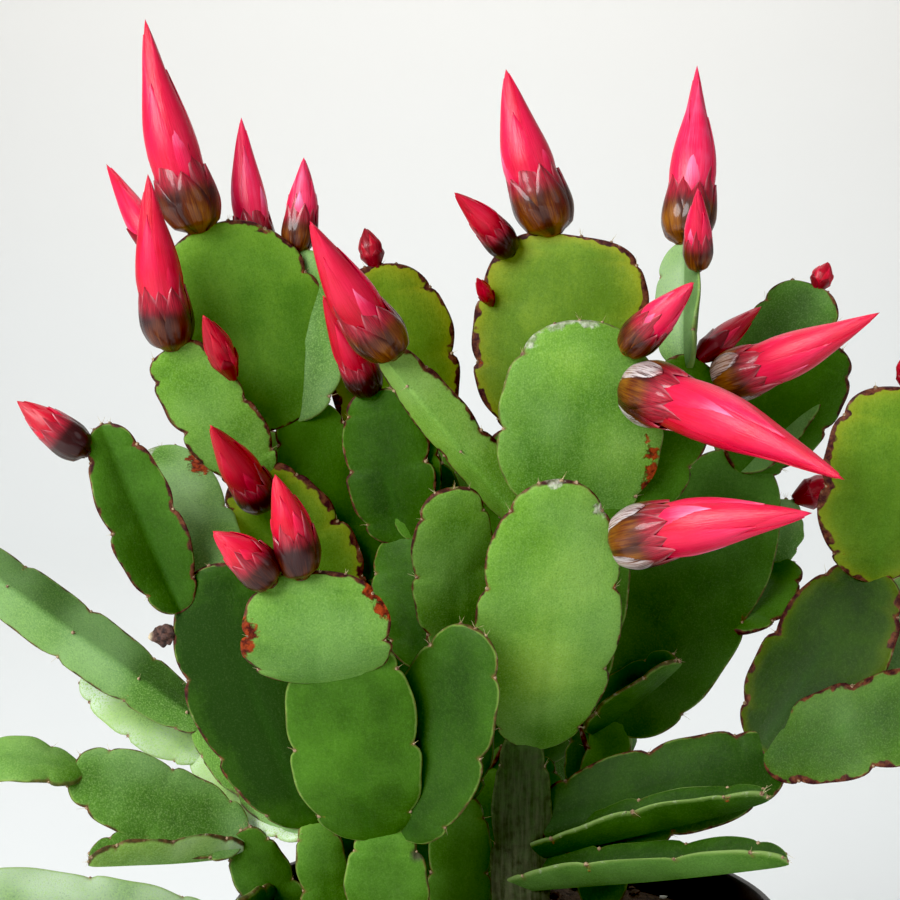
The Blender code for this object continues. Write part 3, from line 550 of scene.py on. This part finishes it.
# damage and age: scars in the notches, grey scurf, raw red wounds and bark
scar = notch.between(0.55, 0.97) * (1 - edge.between(0.2, 1.1)) * (0.35 + sunny * 0.5)
green = scar.tint(green, (0.13, 0.045, 0.02))
dry = (wires.mark("scurf") + (ragged - 0.5) * 1.2 - edge * 0.25).between(0.05, 0.5)
green = (dry * 0.75).tint(green, ragged.between(0.35, 0.65).tint((0.17, 0.2, 0.11), (0.5, 0.52, 0.42)))
wound = (sore * 1.2 + (ragged - 0.5) * 1.4 + (notch - edge * 0.35) * 0.3).between(0.3, 0.6)
raw = ragged.between(0.36, 0.64).tint((0.05, 0.006, 0.005), (0.3, 0.045, 0.01))
green = wound.tint(green, raw)
bark = (cork * 1.5 - ragged * 0.6 - along * 0.3).between(0.05, 0.7)
grey = (streak * 0.7 + ragged * 0.3).between(0.3, 0.7)
green = bark.tint(green, grey.tint((0.026, 0.032, 0.012), (0.095, 0.1, 0.055)))
plug(green, "Base Color")
plug(0.42 + frost * 0.1 + mottle * 0.16 + bark * 0.2, "Roughness")
relief = pore * 0.55 + mottle * 2.2 + streak * 0.5 + ragged * (bark + wound + dry) * 4
emboss(relief, 0.8, 0.00014)
felt_brown, wires = finish_of("areole felt", 0.85)
plug(wires.grain(1500, 3).between(0.3, 0.7).tint((0.1, 0.045, 0.02), (0.4, 0.29, 0.17)), "Base Color")
bristle_cream, wires = finish_of("bristle", 0.5)
plug(wires.grain(800).between(0.3, 0.7).tint((0.36, 0.27, 0.11), (0.6, 0.52, 0.3)), "Base Color")


class Stem:
    """A branching stem: chains of pads on a short round foot that stands in the soil."""

    def __init__(self, name, x, y, girth=5):
        self.name, self.foot, self.girth = name, Vector((x, y, SOIL_TOP + 2)), girth
        self.pads = []

    def grow(self, parent, root, tip, depth, *form, **detail):
        """A pad that grows from its parent near root, or from the foot, and ends at tip on the board."""
        base = parent.nearest(*root, 0.85) if parent else self.foot.copy()
        self.pads.append(Pad(base, seen(*tip, depth), *form, **detail))
        return self.pads[-1]

    def fill(self, *where, **detail):
        """A pad that shows little, with fewer points."""
        return self.grow(*where, coarse=True, **detail)

    def finish(self):
        bm = bmesh.new()
        marks = {name: bm.verts.layers.float.new(name) for name in (
            "edge", "along", "middle", "notch", "tone", "frost", "blush_and_highlight", "cork", "sore", "scurf")}
        dice = random.Random(self.name)
        for pad in self.pads:
            pad.felt(bm, dice)
        profile = ((0, 89.5), (0.86, 89.5), (0.9, 92), (1, 97), (1.04, 99.5), (0.98, 101.5), (0.8, 103.4),
                   (0.45, 104), (0, 104))
        for vert in turned(bm, [(self.girth / 2 * wide, height) for wide, height in profile], 24):
            vert.co += Vector((self.foot.x, self.foot.y, 0))
            vert[marks["edge"]], vert[marks["cork"]], vert[marks["tone"]] = 5, 1, 0.3
        for pad in self.pads:
            pad.skin(bm, marks)
        made = piece(self.name + "_pads", bm, skin, felt_brown, bristle_cream, angle=75)
        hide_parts(self.name)


# The front left stem: its two big pads stand face on in front, and the round shelf pad above them carries
# two buds and has red scars in its margin.
stem = Stem("stem_front_left", -24, -27, 6)
fl_low = stem.grow(None, None, (-25.8, 125.6), -31, 20, "foot", -8, shape="full",
                   spots=((-18.9, 119.6, 3.4, "cork"),))
# the tone spot on the tall pad is a painted highlight low in its middle
fl_tall = stem.grow(fl_low, (-29, 124), (-34.5, 167.5), -42, 29.3, "leaf", -10, bow=2.5, shape="full",
                    spots=((-36, 141, 16, "tone"),))
stem.grow(fl_low, (-21, 124.5), (-6.5, 169.6), -42, 24, "glossy", -22, bow=1, shape="egg")
fl_shelf = stem.grow(fl_tall, (-41, 157.5), (-40.5, 181.8), -48, 33, "yellow", bow=3.5, lobes=4,
                     shape="full", spots=((-27.6, 177.6, 4.4, "sore"), (-26, 174, 4.2, "sore"),
                                          (-55.2, 169, 4, "sore"), (-55.6, 165.4, 3.6, "sore")))
stem.finish()

# The left stem: a tall dark pad, a folded pad above it, and the long winged arm that reaches out behind it.
# A small pale pad with a corky scar stands between them.
stem = Stem("stem_left", -36, -12, 5.5)
l_low = stem.fill(None, None, (-41, 128.5), -18, 12, "foot")
l_dark = stem.grow(l_low, (-42, 127), (-64, 183), -27, 28.5, "dark", -14, bow=2, shape="egg")
l_vee = stem.grow(l_dark, (-70, 173), (-86.5, 213.5), -30, 18, "edged", fold=28, shape="egg")
stem.grow(l_dark, (-63, 182), (-74, 208.5), 2, 19.5, "pale", 15, spots=((-66, 204.5, 4.6, "sore"),
                                                                        (-75.5, 208, 4, "scurf")))
l_arm = stem.fill(l_low, (-43, 128), (-66.5, 150), 9, 16, "arm", fold=-32, shape="strap", sides=0.22)
stem.grow(l_arm, (-65.5, 149.5), (-121, 188.5), 8, 16, "arm", fold=-32, lobes=6, shape="strap", sides=0.22)
l_back = stem.fill(l_low, (-43, 124), (-67, 142), 20, 12, "chalk")
stem.fill(l_back, (-66, 141.5), (-90.5, 160), 23, 14, "chalk")
stem.finish()

# The low left stem: its arms hang out over the rim of the pot, two of them narrow and folded like a gutter.
stem = Stem("stem_low_left", -43, -7, 5.5)
ll_low = stem.fill(None, None, (-57.5, 125), -13, 13, "shade")
ll_out = stem.grow(ll_low, (-57, 125), (-93.8, 138.5), -18, 18.5, "arm", 16, shape="full")
stem.grow(ll_out, (-93, 138.3), (-121, 138), -22, 13, "fresh", 40, bow=4)
stem.grow(ll_low, (-57, 120), (-90.5, 118), -27, 15.5, "arm", 72, fold=54, shape="lance", sides=0.4)
ll_over = stem.fill(ll_low, (-50.5, 112), (-63.5, 104.5), -36, 8.5, "shade", -50, bow=1, thick=4)
stem.grow(ll_over, (-63, 104.6), (-121, 112.5), -44, 13, "silver", 10, lobes=4, shape="strap")
stem.finish()

# The centre stem: an old woody joint, the big front pad, the column of pads behind it, and low on the same
# joint the arm over the rim with three big pads at its end and two winged arms.
stem = Stem("stem_centre", 3, -10, 7)
c_wood = stem.fill(None, None, (4, 147), -17, 14, "bark", thick=6, shape="full")
# the front pad's tone spots are painted light on its lower half, which turns down away from the lamp
c_front = stem.grow(c_wood, (7, 145), (11.8, 201.5), -46, 32.5, "bright", 10, bow=3, lobes=5, shape="egg",
                    spots=((13, 180, 15, "tone"), (6, 161, 20, "tone"), (9, 160, 14, "tone"),
                           (20, 195, 2.5, "scurf"), (11, 200.5, 3, "scurf")))
c_behind = stem.fill(c_wood, (5, 146), (18, 195), -17, 27, "shade")
# the upper pad's tone spots are painted highlights
c_upper = stem.grow(c_behind, (16, 192), (15.5, 235.8), -24, 35.5, "fresh", 8, bow=2, lobes=4, shape="egg",
                    spots=((30, 210.5, 2.4, "sore"), (31.2, 207.4, 3, "sore"), (31.4, 203.8, 3, "sore"),
                           (30.4, 200.4, 2.2, "sore"), (11.8, 235.2, 4.5, "scurf"),
                           (17.5, 234.6, 4, "scurf"), (22.5, 228.5, 3, "scurf"), (6, 231.5, 3, "scurf"),
                           (13, 227, 12, "tone"), (24, 208, 12, "tone")))
c_shoulder = stem.grow(c_behind, (23, 191), (42, 227), -12, 21.5, "mid", 22)
c_spire = stem.grow(c_shoulder, (39.5, 226), (39.3, 253), -7, 21, "satin", -62, fold=18, shape="egg",
                    sides=0.3)
c_ridge = stem.grow(c_behind, (6, 190), (-25.5, 228), -25, 14.5, "ridge", -18, fold=-38, shape="strap",
                    sides=0.03)
lr_arm = stem.grow(c_wood, (8, 126), (60, 141), -14, 21, "dusk", lobes=4, shape="strap")
lr_big = stem.grow(lr_arm, (57, 143), (81, 182.3), -11, 28.5, "russet", -20, lobes=4, shape="egg")
lr_top = stem.grow(lr_big, (80.5, 181.5), (84.5, 221.5), -20, 29, "olive", 16, bow=2)
stem.grow(lr_arm, (59, 142), (101, 155.5), -34, 20.5, "dull", -14, shape="full")
stem.fill(lr_arm, (60, 143), (96, 180), 8, 24.5, "pale", -14, shape="egg")
stem.grow(c_wood, (5, 119), (57.4, 132.4), -31, 14, "gutter", -74, fold=54, lobes=4, shape="lance")
stem.grow(c_wood, (1, 112), (62, 118.2), -43, 15, "gutter", -70, fold=52, lobes=5, shape="lance", sides=0.3)
stem.finish()

# The inner stem: it fills the middle between the front pads, mostly in shade, with a dark pad that shows its
# purple-brown margin.
stem = Stem("stem_inner", -10, -7, 5.5)
i_low = stem.fill(None, None, (-9.5, 133), -8, 14, "foot")
i_mid = stem.fill(i_low, (-9.5, 132.5), (-11.5, 167), -11, 17, "shade")
stem.grow(i_mid, (-10.5, 166), (-11.2, 199.8), -27, 19, "bright", 15, shape="full")
i_dark = stem.grow(i_mid, (-17, 161), (-23, 190), -6, 17, "deep", -18, shape="egg")
i_upper = stem.grow(i_dark, (-22.5, 189.5), (-28, 221), -8, 19.6, "deep", -14, shape="full")
stem.fill(i_dark, (-20, 189), (-18.5, 213.5), -6, 12, "mid")
stem.finish()

# The upper left stem: the tall pads that carry the top left buds, the round one lit from above.
stem = Stem("stem_upper_left", -21, 5, 6)
ul_low = stem.fill(None, None, (-24, 142), 4, 17, "shade")
ul_mid = stem.fill(ul_low, (-24, 141), (-31, 180), 2, 19, "shade")
ul_side = stem.grow(ul_mid, (-35, 173), (-55, 203.5), -9, 23.5, "olive", -15, shape="full")
ul_light = stem.grow(ul_side, (-52.5, 201), (-71.5, 230), -15, 19.2, "worn", -20, shape="strap")
ul_dark = stem.fill(ul_mid, (-30, 179), (-43.5, 217.5), 2, 21, "mid", 18)
ul_round = stem.grow(ul_dark, (-50, 215), (-63, 256), -2, 35.5, "front", 10, lobes=5, shape="egg")
ul_behind = stem.grow(ul_dark, (-46, 217), (-45, 250.8), 6, 23, "pale", -16)
stem.finish()

# The stem behind the middle: the dark pad and the broad crown pad at its two tops, both with strong
# purple-brown margins.
stem = Stem("stem_back_mid", -2, 14, 7)
bm_low = stem.fill(None, None, (-4, 140), 14, 16, "foot", thick=4)
bm_left = stem.fill(bm_low, (-6, 139), (-15, 176), 14, 19, "shade")
bm_left_up = stem.fill(bm_left, (-15, 175), (-22, 209), 11, 21, "shade")
bm_dark = stem.grow(bm_left_up, (-22, 208), (-26.5, 247.8), 10, 31, "sunny", 16, lobes=4, shape="egg")
bm_rear = stem.fill(bm_low, (-5, 138), (-8, 170), 30, 22, "mid", -45)
stem.fill(bm_rear, (-8, 169), (-11, 203), 34, 23, "fresh", 40)
bm_right = stem.fill(bm_low, (-2, 139), (2, 172), 10, 18, "shade")
bm_right_up = stem.fill(bm_right, (2, 171), (5, 213), 5, 24, "mid")
bm_crown = stem.grow(bm_right_up, (8.5, 209), (15, 253.8), 1, 37.5, "light", -9, lobes=5, shape="crown")
stem.finish()

# The right stem: a large dark pad behind the front ones, and the upper right pads with their green-grey
# bloom.
stem = Stem("stem_right", 21, 3, 6)
r_low = stem.fill(None, None, (23, 150), 4, 13, "foot")
stem.grow(r_low, (17, 147), (38, 162.3), -6, 15, "shade", -66, fold=50, shape="lance", sides=0.05)
r_large = stem.grow(r_low, (25, 150), (53, 206.8), 12, 33, "broad", 12, lobes=4, shape="egg")
stem.grow(r_large, (53, 206), (69, 231.5), 4, 23, "edged", 24)
r_top = stem.grow(r_large, (51, 207), (65, 243.6), 14, 23, "bloomy", -18)
r_side = stem.fill(r_large, (50, 168), (60, 184.5), 24, 17, "mid", -30)
r_side_end = stem.fill(r_side, (59.5, 183.5), (60.3, 197.5), 24, 10.5, "pale", 30)
r_rear = stem.fill(r_low, (16, 144), (30, 165), 34, 22, "mid", 40)
stem.fill(r_rear, (29, 164), (38, 195), 44, 25, "fresh", -50)
stem.fill(r_low, (13, 130), (18, 149), 14, 9, "shade", shape="egg")
stem.fill(r_low, (14, 126), (26, 148.5), 18, 9, "pale", shape="egg")
stem.finish()

# The back left stem, which fills out the plant's far side.
stem = Stem("stem_back_left", -25, 20, 6)
bl_low = stem.fill(None, None, (-32, 148), 28, 19, "foot")
bl_mid = stem.fill(bl_low, (-32, 147), (-44, 180), 40, 26, "mid", 35)
stem.fill(bl_mid, (-44, 179), (-50, 212), 46, 27, "front", 60)
bl_side = stem.fill(bl_low, (-37, 145), (-56, 160), 50, 22, "mid", -40)
stem.fill(bl_side, (-55, 159), (-68, 182), 58, 24, "fresh", -60)
stem.fill(bl_low, (-28, 147), (-26, 172), 44, 21, "mid", 50)
stem.finish()

# The back stem, which leans away to the rear and carries two buds of its own.
stem = Stem("stem_back", 8, 32, 6.5)
b_low = stem.fill(None, None, (5, 142), 44, 18, "foot")
b_left = stem.fill(b_low, (1, 141), (-10, 180), 60, 25, "mid", -30)
b_left_up = stem.fill(b_left, (-10, 179), (-23, 221), 62, 26, "front", -50)
b_right = stem.fill(b_low, (8, 141), (17, 184), 62, 24, "mid", 40)
b_right_up = stem.fill(b_right, (17, 183), (16, 227), 60, 26, "sunny", 58)
b_out = stem.fill(b_low, (9, 135), (22, 152), 74, 20, "arm", 30)
stem.fill(b_out, (21, 151), (34, 172), 84, 22, "fresh", 65)
stem.finish()


# The large buds: a glossy brown cup of fused, ribbed scales, and rolled up in it the crimson petals. The
# outer petals end early in free points, and the inner ones make the long closed tip.
def lengthwise(wires, scale, detail, roughness):
    """Grain that is drawn out along the bud."""
    place = wires.node("CombineXYZ", {}, {"X": wires.mark("turn"), "Y": wires.mark("run")})
    return wires.grain(scale, detail, roughness, place)


petal_red, wires = finish_of("petal", 0.34, Specular_IOR_Level=0.36, Subsurface_Weight=0.08,
                             Subsurface_Scale=0.0015, Subsurface_Radius=(1, 0.2, 0.25))
tone, along, rim = wires.mark("tone"), wires.mark("along"), wires.mark("rim")
vein = lengthwise(wires, 1.7, 3, 0.6)
cloud = wires.grain(160, 2)
pink = tone + (vein - 0.5) * 0.26 + (cloud - 0.5) * 0.3 + along * 0.12
red = pink.ramp((0, (0.2, 0.001, 0.008)), (0.3, (0.56, 0.003, 0.022)), (0.6, (0.82, 0.016, 0.085)),
                (1, (0.85, 0.22, 0.42)))
# darker along the petal edges: painted shade where one petal overlaps the next
red = (rim.between(0.86, 1) * along.between(0.1, 0.5) * 0.35).tint(red, (0.4, 0.003, 0.02))
# darker towards the foot of each petal: painted shade inside the cup
red = ((1 - along.between(0, 0.3)) * 0.6).tint(red, (0.24, 0.004, 0.014))
plug(red, "Base Color")
plug(0.28 + vein * 0.14, "Roughness")
emboss(vein, 0.5, 0.0002)

cup_brown, wires = finish_of("calyx", 0.3, Specular_IOR_Level=0.2, Coat_Weight=0.4, Coat_Roughness=0.1,
                             Subsurface_Weight=0.05, Subsurface_Scale=0.001,
                             Subsurface_Radius=(1, 0.4, 0.2))
height, rim, papery = wires.mark("along"), wires.mark("rim"), wires.mark("tone")
fibre = lengthwise(wires, 1.9, 4, 0.65)
patch = wires.grain(150, 1)
amber = 0.5 - height * 0.3 + (fibre - 0.5) * 0.8 + (patch - 0.5) * 0.9 - wires.mark("deep")
brown = amber.ramp((0, (0.028, 0.004, 0.004)), (0.3, (0.1, 0.02, 0.005)), (0.6, (0.25, 0.085, 0.006)),
                   (1, (0.44, 0.22, 0.02)))
brown = ((1 - rim.between(0, 0.1)) * 0.3 + rim.between(0.45, 0.8) * 0.75).tint(brown, (0.024, 0.004, 0.004))
maroon = fibre.between(0.3, 0.7).tint((0.16, 0.006, 0.014), (0.42, 0.014, 0.035))
brown = height.between(0.7, 1.1).tint(brown, maroon)
# pale pink along the edges of the scale points: a painted highlight
brown = (height.between(0.95, 1.3) * rim.between(0.6, 0.95) * 0.5).tint(brown, (0.66, 0.22, 0.26))
# pale silver streaks on the papery scales: partly their thin membrane, partly painted glare
brown = (papery * fibre.between(0.36, 0.58) * (1 - height.between(0.7, 1))).tint(brown, (0.66, 0.58, 0.58))
plug(brown, "Base Color")
plug(0.3 + patch * 0.16 + papery * 0.12, "Roughness")
emboss(fibre, 0.6, 0.0002)


class Bud:
    """A flower bud on an areole of a pad. Its axis bends a little, and lengths are in mm from its base."""

    def __init__(self, name, parent, root, tip, depth, girth, pink=0.3, bow=0, side=0, papery=0,
                 slim=0.16, closed=False):
        self.name, self.closed, self.bow = name, closed, bow
        self.pink, self.papery, self.slim = pink, papery, slim
        self.dice = random.Random(name)
        start = parent.nearest(*root, 1, side)
        self.tip = seen(*tip, depth)
        self.radius = girth / 2 * ((start.y + self.tip.y) / 2 - EYE.y) / -EYE.y
        self.axis = (self.tip - start).normalized()
        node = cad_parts[("bud_" if closed else "calyx_") + name]
        shift = min((vert.co / MM - start).dot(self.axis) for vert in node.data.vertices)
        self.base = start + self.axis * (shift - 0.9)
        self.length = (self.tip - self.base).length
        self.cup = min(0.62 * 2 * self.radius + 2.5, 0.42 * self.length)
        self.deep = max(0.28 - pink, 0) * 3
        self.across = self.axis.cross(Vector((0, 1, 0))).normalized()
        self.up = self.across.cross(self.axis).normalized()

    def sheet(self):
        """An empty mesh with the marks that its material reads."""
        bm = bmesh.new()
        names = ("tone", "along", "rim", "turn", "run", "deep")
        return bm, {name: bm.verts.layers.float.new(name) for name in names}

    def settle(self, vert, marks, angle, radius, along, tone, share, rim):
        """Puts a point in its place round the bud's bent axis, and writes its marks."""
        bend = self.bow * sin(pi * min(max(along / self.length, 0), 1))
        vert.co = (self.base + self.axis * along + self.across * (radius * cos(angle) + bend)
                   + self.up * radius * sin(angle))
        for name, value in (("tone", tone), ("along", share), ("rim", rim), ("deep", self.deep),
                            ("turn", angle * self.radius * 1.5), ("run", along * 0.1)):
            vert[marks[name]] = value

    def body(self, along):
        """The radius of the rolled petals at a height above the base, full to near the tip."""
        share = min(max((along - self.cup) / (self.length - self.cup), 0), 1)
        swell = min(1, 0.25 + 1.1 * along / self.cup) if self.closed else 1
        return self.radius * 0.83 * swell * (1 - share ** 2.2) ** 0.95 * min(1, 0.9 + 0.5 * share)

    def heart(self, along):
        """The radius of the innermost petals, slimmer where the outer ones have ended."""
        return self.body(along) * (1 - self.slim * ease((along / self.length - 0.45) / 0.35))

    def mantle(self, along):
        """The radius of the middle petals, close round the innermost ones."""
        return (self.body(along) + 2 * self.heart(along)) / 3

    def shell(self, along):
        """The radius of the cup of scales, and above its mouth of the petals that their points lie on."""
        share = max(along / self.cup, 0)
        if share > 1:
            blend = ease((share - 1) / 0.45)
            return (1 - blend) * 0.89 * self.radius + blend * (self.body(along) + 0.1)
        belly = 0.6 + 0.41 * sin(pi / 2 * min(share / 0.62, 1))
        belly -= 0.05 * max((share - 0.62) / 0.38, 0) ** 2
        return self.radius * 0.93 * belly * min(1, sqrt((share + 0.03) / 0.16))

    def blade(self, bm, marks, hull, start, end, turn, span, lift, tone, flare=0.1, swell=0.16, blush_and_highlight=0,
              grid=(12, 22), unit=0, full=3):
        """A pointed petal or scale round the hull, from start to end, span degrees to each side of turn."""
        sheet = bmesh.ops.create_grid(bm, x_segments=grid[0], y_segments=grid[1], size=1)["verts"]
        faces = list({face for vert in sheet for face in vert.link_faces})
        for vert in sheet:
            u, v = vert.co.x, (vert.co.y + 1) / 2
            width = span * min(1, 0.8 + 0.8 * v) * (1 - v ** full) ** 0.9
            angle = radians(turn + width * u + 14 * v)
            along = start + (end - start) * v
            radius = max(hull(along), 0.12) + lift * (1 - 0.4 * v)
            radius += 0.1 * u + flare * v ** 5 + swell * (1 - u * u)
            share = along / unit if unit else v
            # the blush lightens the petal towards its point: a painted highlight
            self.settle(vert, marks, angle, radius, along, tone + blush_and_highlight * v ** 2, share, abs(u))
        bmesh.ops.reverse_faces(bm, faces=faces)
        bmesh.ops.solidify(bm, geom=faces, thickness=0.15)

    def core(self, bm, marks, hull, low, high, tone, unit):
        """A closed turned body inside the petals or scales, from low to high on the axis."""
        steps = [low + (high - low) * i / 26 for i in range(1, 26)]
        for vert in turned(bm, [(0, low)] + [(hull(along), along) for along in steps] + [(0, high)], 32):
            x, y, along = vert.co
            self.settle(vert, marks, atan2(y, x), hypot(x, y), along, tone, along / unit, 0.4)

    def finish(self, bm, name, finish, node, slot):
        bmesh.ops.recalc_face_normals(bm, faces=bm.faces)
        made = piece(name, bm, finish, angle=50)
        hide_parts(node)

    def calyx(self):
        """The cup: five broad scales grown together into flutes, their red points laid on the petals."""
        bm, marks = self.sheet()
        cup, dice = self.cup, self.dice
        self.core(bm, marks, lambda along: self.shell(along) * 0.97, -0.8, 0.99 * cup, 0, cup)
        spin = dice.uniform(0, 72)
        for start, reach, shift, span, lift, swell in ((0.1, (1.3, 1.75), 36, 37, -0.12, 0.1),
                                                       (-0.3, (1.15, 1.5), 0, 45, 0, 0.07 * self.radius)):
            for i in range(5):
                end = cup * dice.uniform(*reach)
                turn = spin + shift + 72 * i + dice.uniform(-5, 5)
                self.blade(bm, marks, self.shell, start, end, turn, span, lift, 0, 0, swell,
                           unit=cup, full=2.2)
        # three papery scales, their silver partly membrane and partly painted glare
        for i in range(3 if self.papery else 0):
            self.blade(bm, marks, self.shell, -0.2, cup * dice.uniform(0.8, 1), spin + 20 + 118 * i, 33, 0.35,
                       self.papery, 0.05, 0.3, unit=cup)
        self.finish(bm, "cup_" + self.name, cup_brown, "calyx_" + self.name, "calyx")

    def petals(self):
        """The petals in their layers, wrapped round a closed core."""
        bm, marks = self.sheet()
        cup, length, dice = self.cup, self.length, self.dice
        low = -0.4 if self.closed else 0.5 * cup
        self.core(bm, marks, lambda along: self.heart(along) * (0.97 if along > cup else 0.88), low, length,
                  self.pink, length)
        spin = dice.uniform(0, 120)
        start = 0 if self.closed else 0.7 * cup
        grid = (12, 22) if self.radius > 4.5 else (9, 15)
        # the outer petals get a painted highlight, paler towards their points, stronger on the pinker buds
        tip_highlight = 0.4 if self.pink > 0.25 else 0.08
        for count, end, span, lift, shift, hull, pale in ((3, 0.96, 68, 0, 0, self.heart, 0),
                                                          (3, 0.7, 48, 0.08, 55, self.mantle, 0.1),
                                                          (3, 0.42, 31, 0.16, 15, self.body, tip_highlight)):
            flare, full = (0, 3) if hull == self.heart else (-0.04 * self.radius, 1.9)
            for i in range(count):
                tone = self.pink + dice.uniform(-0.06, 0.12)
                reach = cup + (length - cup) * (end + dice.uniform(-0.1, 0.03))
                turn = spin + shift + 360 / count * i + dice.uniform(-10, 10)
                self.blade(bm, marks, hull, start, reach, turn, span, lift, tone, flare, blush_and_highlight=pale,
                           grid=grid, full=full)
        if self.closed:
            for i in range(4):
                self.blade(bm, marks, self.body, -0.3, 0.4 * length, spin + 90 * i, 44, 0.4, -0.2, grid=grid)
            self.finish(bm, "young_" + self.name, petal_red, "bud_" + self.name, "young_bud")
        else:
            self.finish(bm, "petals_of_" + self.name, petal_red, "petals_" + self.name, "petal")


for bud in (
    Bud("top_left", ul_round, (-66, 256.5), (-76, 299.2), -4, 13.3, bow=1.2, slim=0.24),
    Bud("left_upright", ul_light, (-71, 230), (-75.8, 266.8), -22, 11.8, 0.22, bow=0.6),
    Bud("left_pink", ul_behind, (-51.5, 247), (-55.9, 278.7), 11, 9, 0.5, bow=0.8),
    Bud("left_pink_small", ul_behind, (-44.5, 251), (-42.7, 270.3), 6, 7.8, 0.48, bow=-0.5),
    Bud("inner_left", c_ridge, (-23.5, 228), (-41.5, 256.9), -38, 12.6, bow=1),
    Bud("inner_left_low", i_upper, (-29, 221), (-38.8, 241.2), -22, 8.6, 0.15),
    Bud("far_left", l_vee, (-89, 207), (-104.4, 218.6), -34, 8.6, 0.15),
    Bud("shelf_back", ul_side, (-49.5, 193.5), (-63.1, 213.5), -30, 10, 0.2),
    Bud("shelf_right", fl_shelf, (-42.5, 178.5), (-49.3, 202.9), -52, 10.3, 0.2, bow=-0.5),
    Bud("shelf_left", fl_shelf, (-47.5, 177), (-62.7, 190.6), -54, 10, 0.2, bow=-0.5),
    Bud("crown", bm_crown, (10.5, 252), (0.1, 288.8), 3, 13.2, 0.34, bow=1),
    Bud("crown_side", bm_crown, (2, 249), (-10.8, 262.9), -7, 7.4, 0.15, bow=-0.5),
    Bud("spire", c_spire, (38.3, 253), (40.5, 289.6), 4, 11.8, 0.5, bow=-0.6, slim=0.34),
    Bud("spire_front", c_spire, (42, 247.5), (40.9, 263.8), -27, 6.6, 0.4, side=1),
    Bud("shoulder_small", c_upper, (23, 227), (40.3, 243.9), -36, 9, 0.4),
    Bud("shoulder_large", c_upper, (24, 223), (73.1, 201.6), -64, 15.4, 0.3, bow=1.2, papery=0.8, slim=0.24),
    Bud("right_large", c_shoulder, (45.5, 223), (80, 237.5), -32, 12, 0.3, bow=-1, papery=0.45, slim=0.2),
    Bud("front_right", c_front, (24.5, 188), (66.2, 194.5), -62, 14.8, 0.4, bow=0.8, papery=0.7),
    Bud("back_left", b_left_up, (-23, 221), (-26, 240), 68, 8.6),
):
    bud.calyx()
    bud.petals()

# The young buds: still closed, dark crimson, wrapped in short maroon scales.
for name, parent, root, tip, depth, girth, pink in (
    ("top_left_side", ul_round, (-74.5, 249), (-84.6, 268.9), 8, 7.2, 0.3),
    ("left_small", ul_light, (-56.5, 220.5), (-64.4, 237), -26, 7.2, 0.1),
    ("dark_tip", bm_dark, (-27.7, 248), (-29.8, 255.4), 10, 6, -0.1),
    ("crown_low", bm_crown, (-2.5, 238.5), (-6, 244.9), -1, 3.6, 0.1),
    ("middle_tiny", bm_right_up, (-7.5, 207), (-9, 215.2), 4, 4, -0.1),
    ("right_small", c_shoulder, (41.5, 228), (54.8, 238.8), 2, 6.4, 0.2),
    ("top_right", r_top, (66, 241.8), (68.8, 248.2), 14, 5.4, 0.1),
    ("right_behind", r_side_end, (60.5, 197), (73, 201), 24, 8.4, 0),
    ("far_right", lr_top, (86.5, 221.2), (86.8, 230.3), -21, 7, 0),
    ("back_right", b_right_up, (16, 227), (18, 245), 66, 8, 0.2),
):
    Bud(name, parent, root, tip, depth, girth, pink=pink, closed=True).petals()

# One bud that has withered on the left margin: a small dry brown husk, crumpled, with a cream tip.
husk, wires = finish_of("husk", 0.8)
crumple = wires.grain(900, 4, 0.6)
dead = crumple.between(0.35, 0.65).tint((0.02, 0.009, 0.008), (0.11, 0.05, 0.035))
plug(wires.mark("along").between(0.7, 0.95).tint(dead, (0.55, 0.45, 0.3)), "Base Color")
bm = bmesh.new()
along_mark = bm.verts.layers.float.new("along")
root = l_dark.nearest(-73, 168, 1, -1)
way = (seen(-77.5, 168.6, -24) - root).normalized()
across = way.cross(Vector((0, 1, 0))).normalized()
for vert in bmesh.ops.create_icosphere(bm, subdivisions=4, radius=1)["verts"]:
    reach = (1 - vert.co.z) / 2
    vert[along_mark] = reach
    wrinkle = 1 + 0.24 * sin(5 * atan2(vert.co.y, vert.co.x) + 3 * reach)
    wrinkle += 0.15 * sin(9 * vert.co.x - 7 * vert.co.z)
    wrinkle *= 1.15 - 0.6 * reach * reach
    vert.co = (root + way * (6 * reach - 0.5) + across * (vert.co.x * 1.9 * wrinkle + 0.9 * reach * reach)
               + way.cross(across) * vert.co.y * 1.6 * wrinkle)
withered = piece("withered_bud", bm, husk, angle=50)
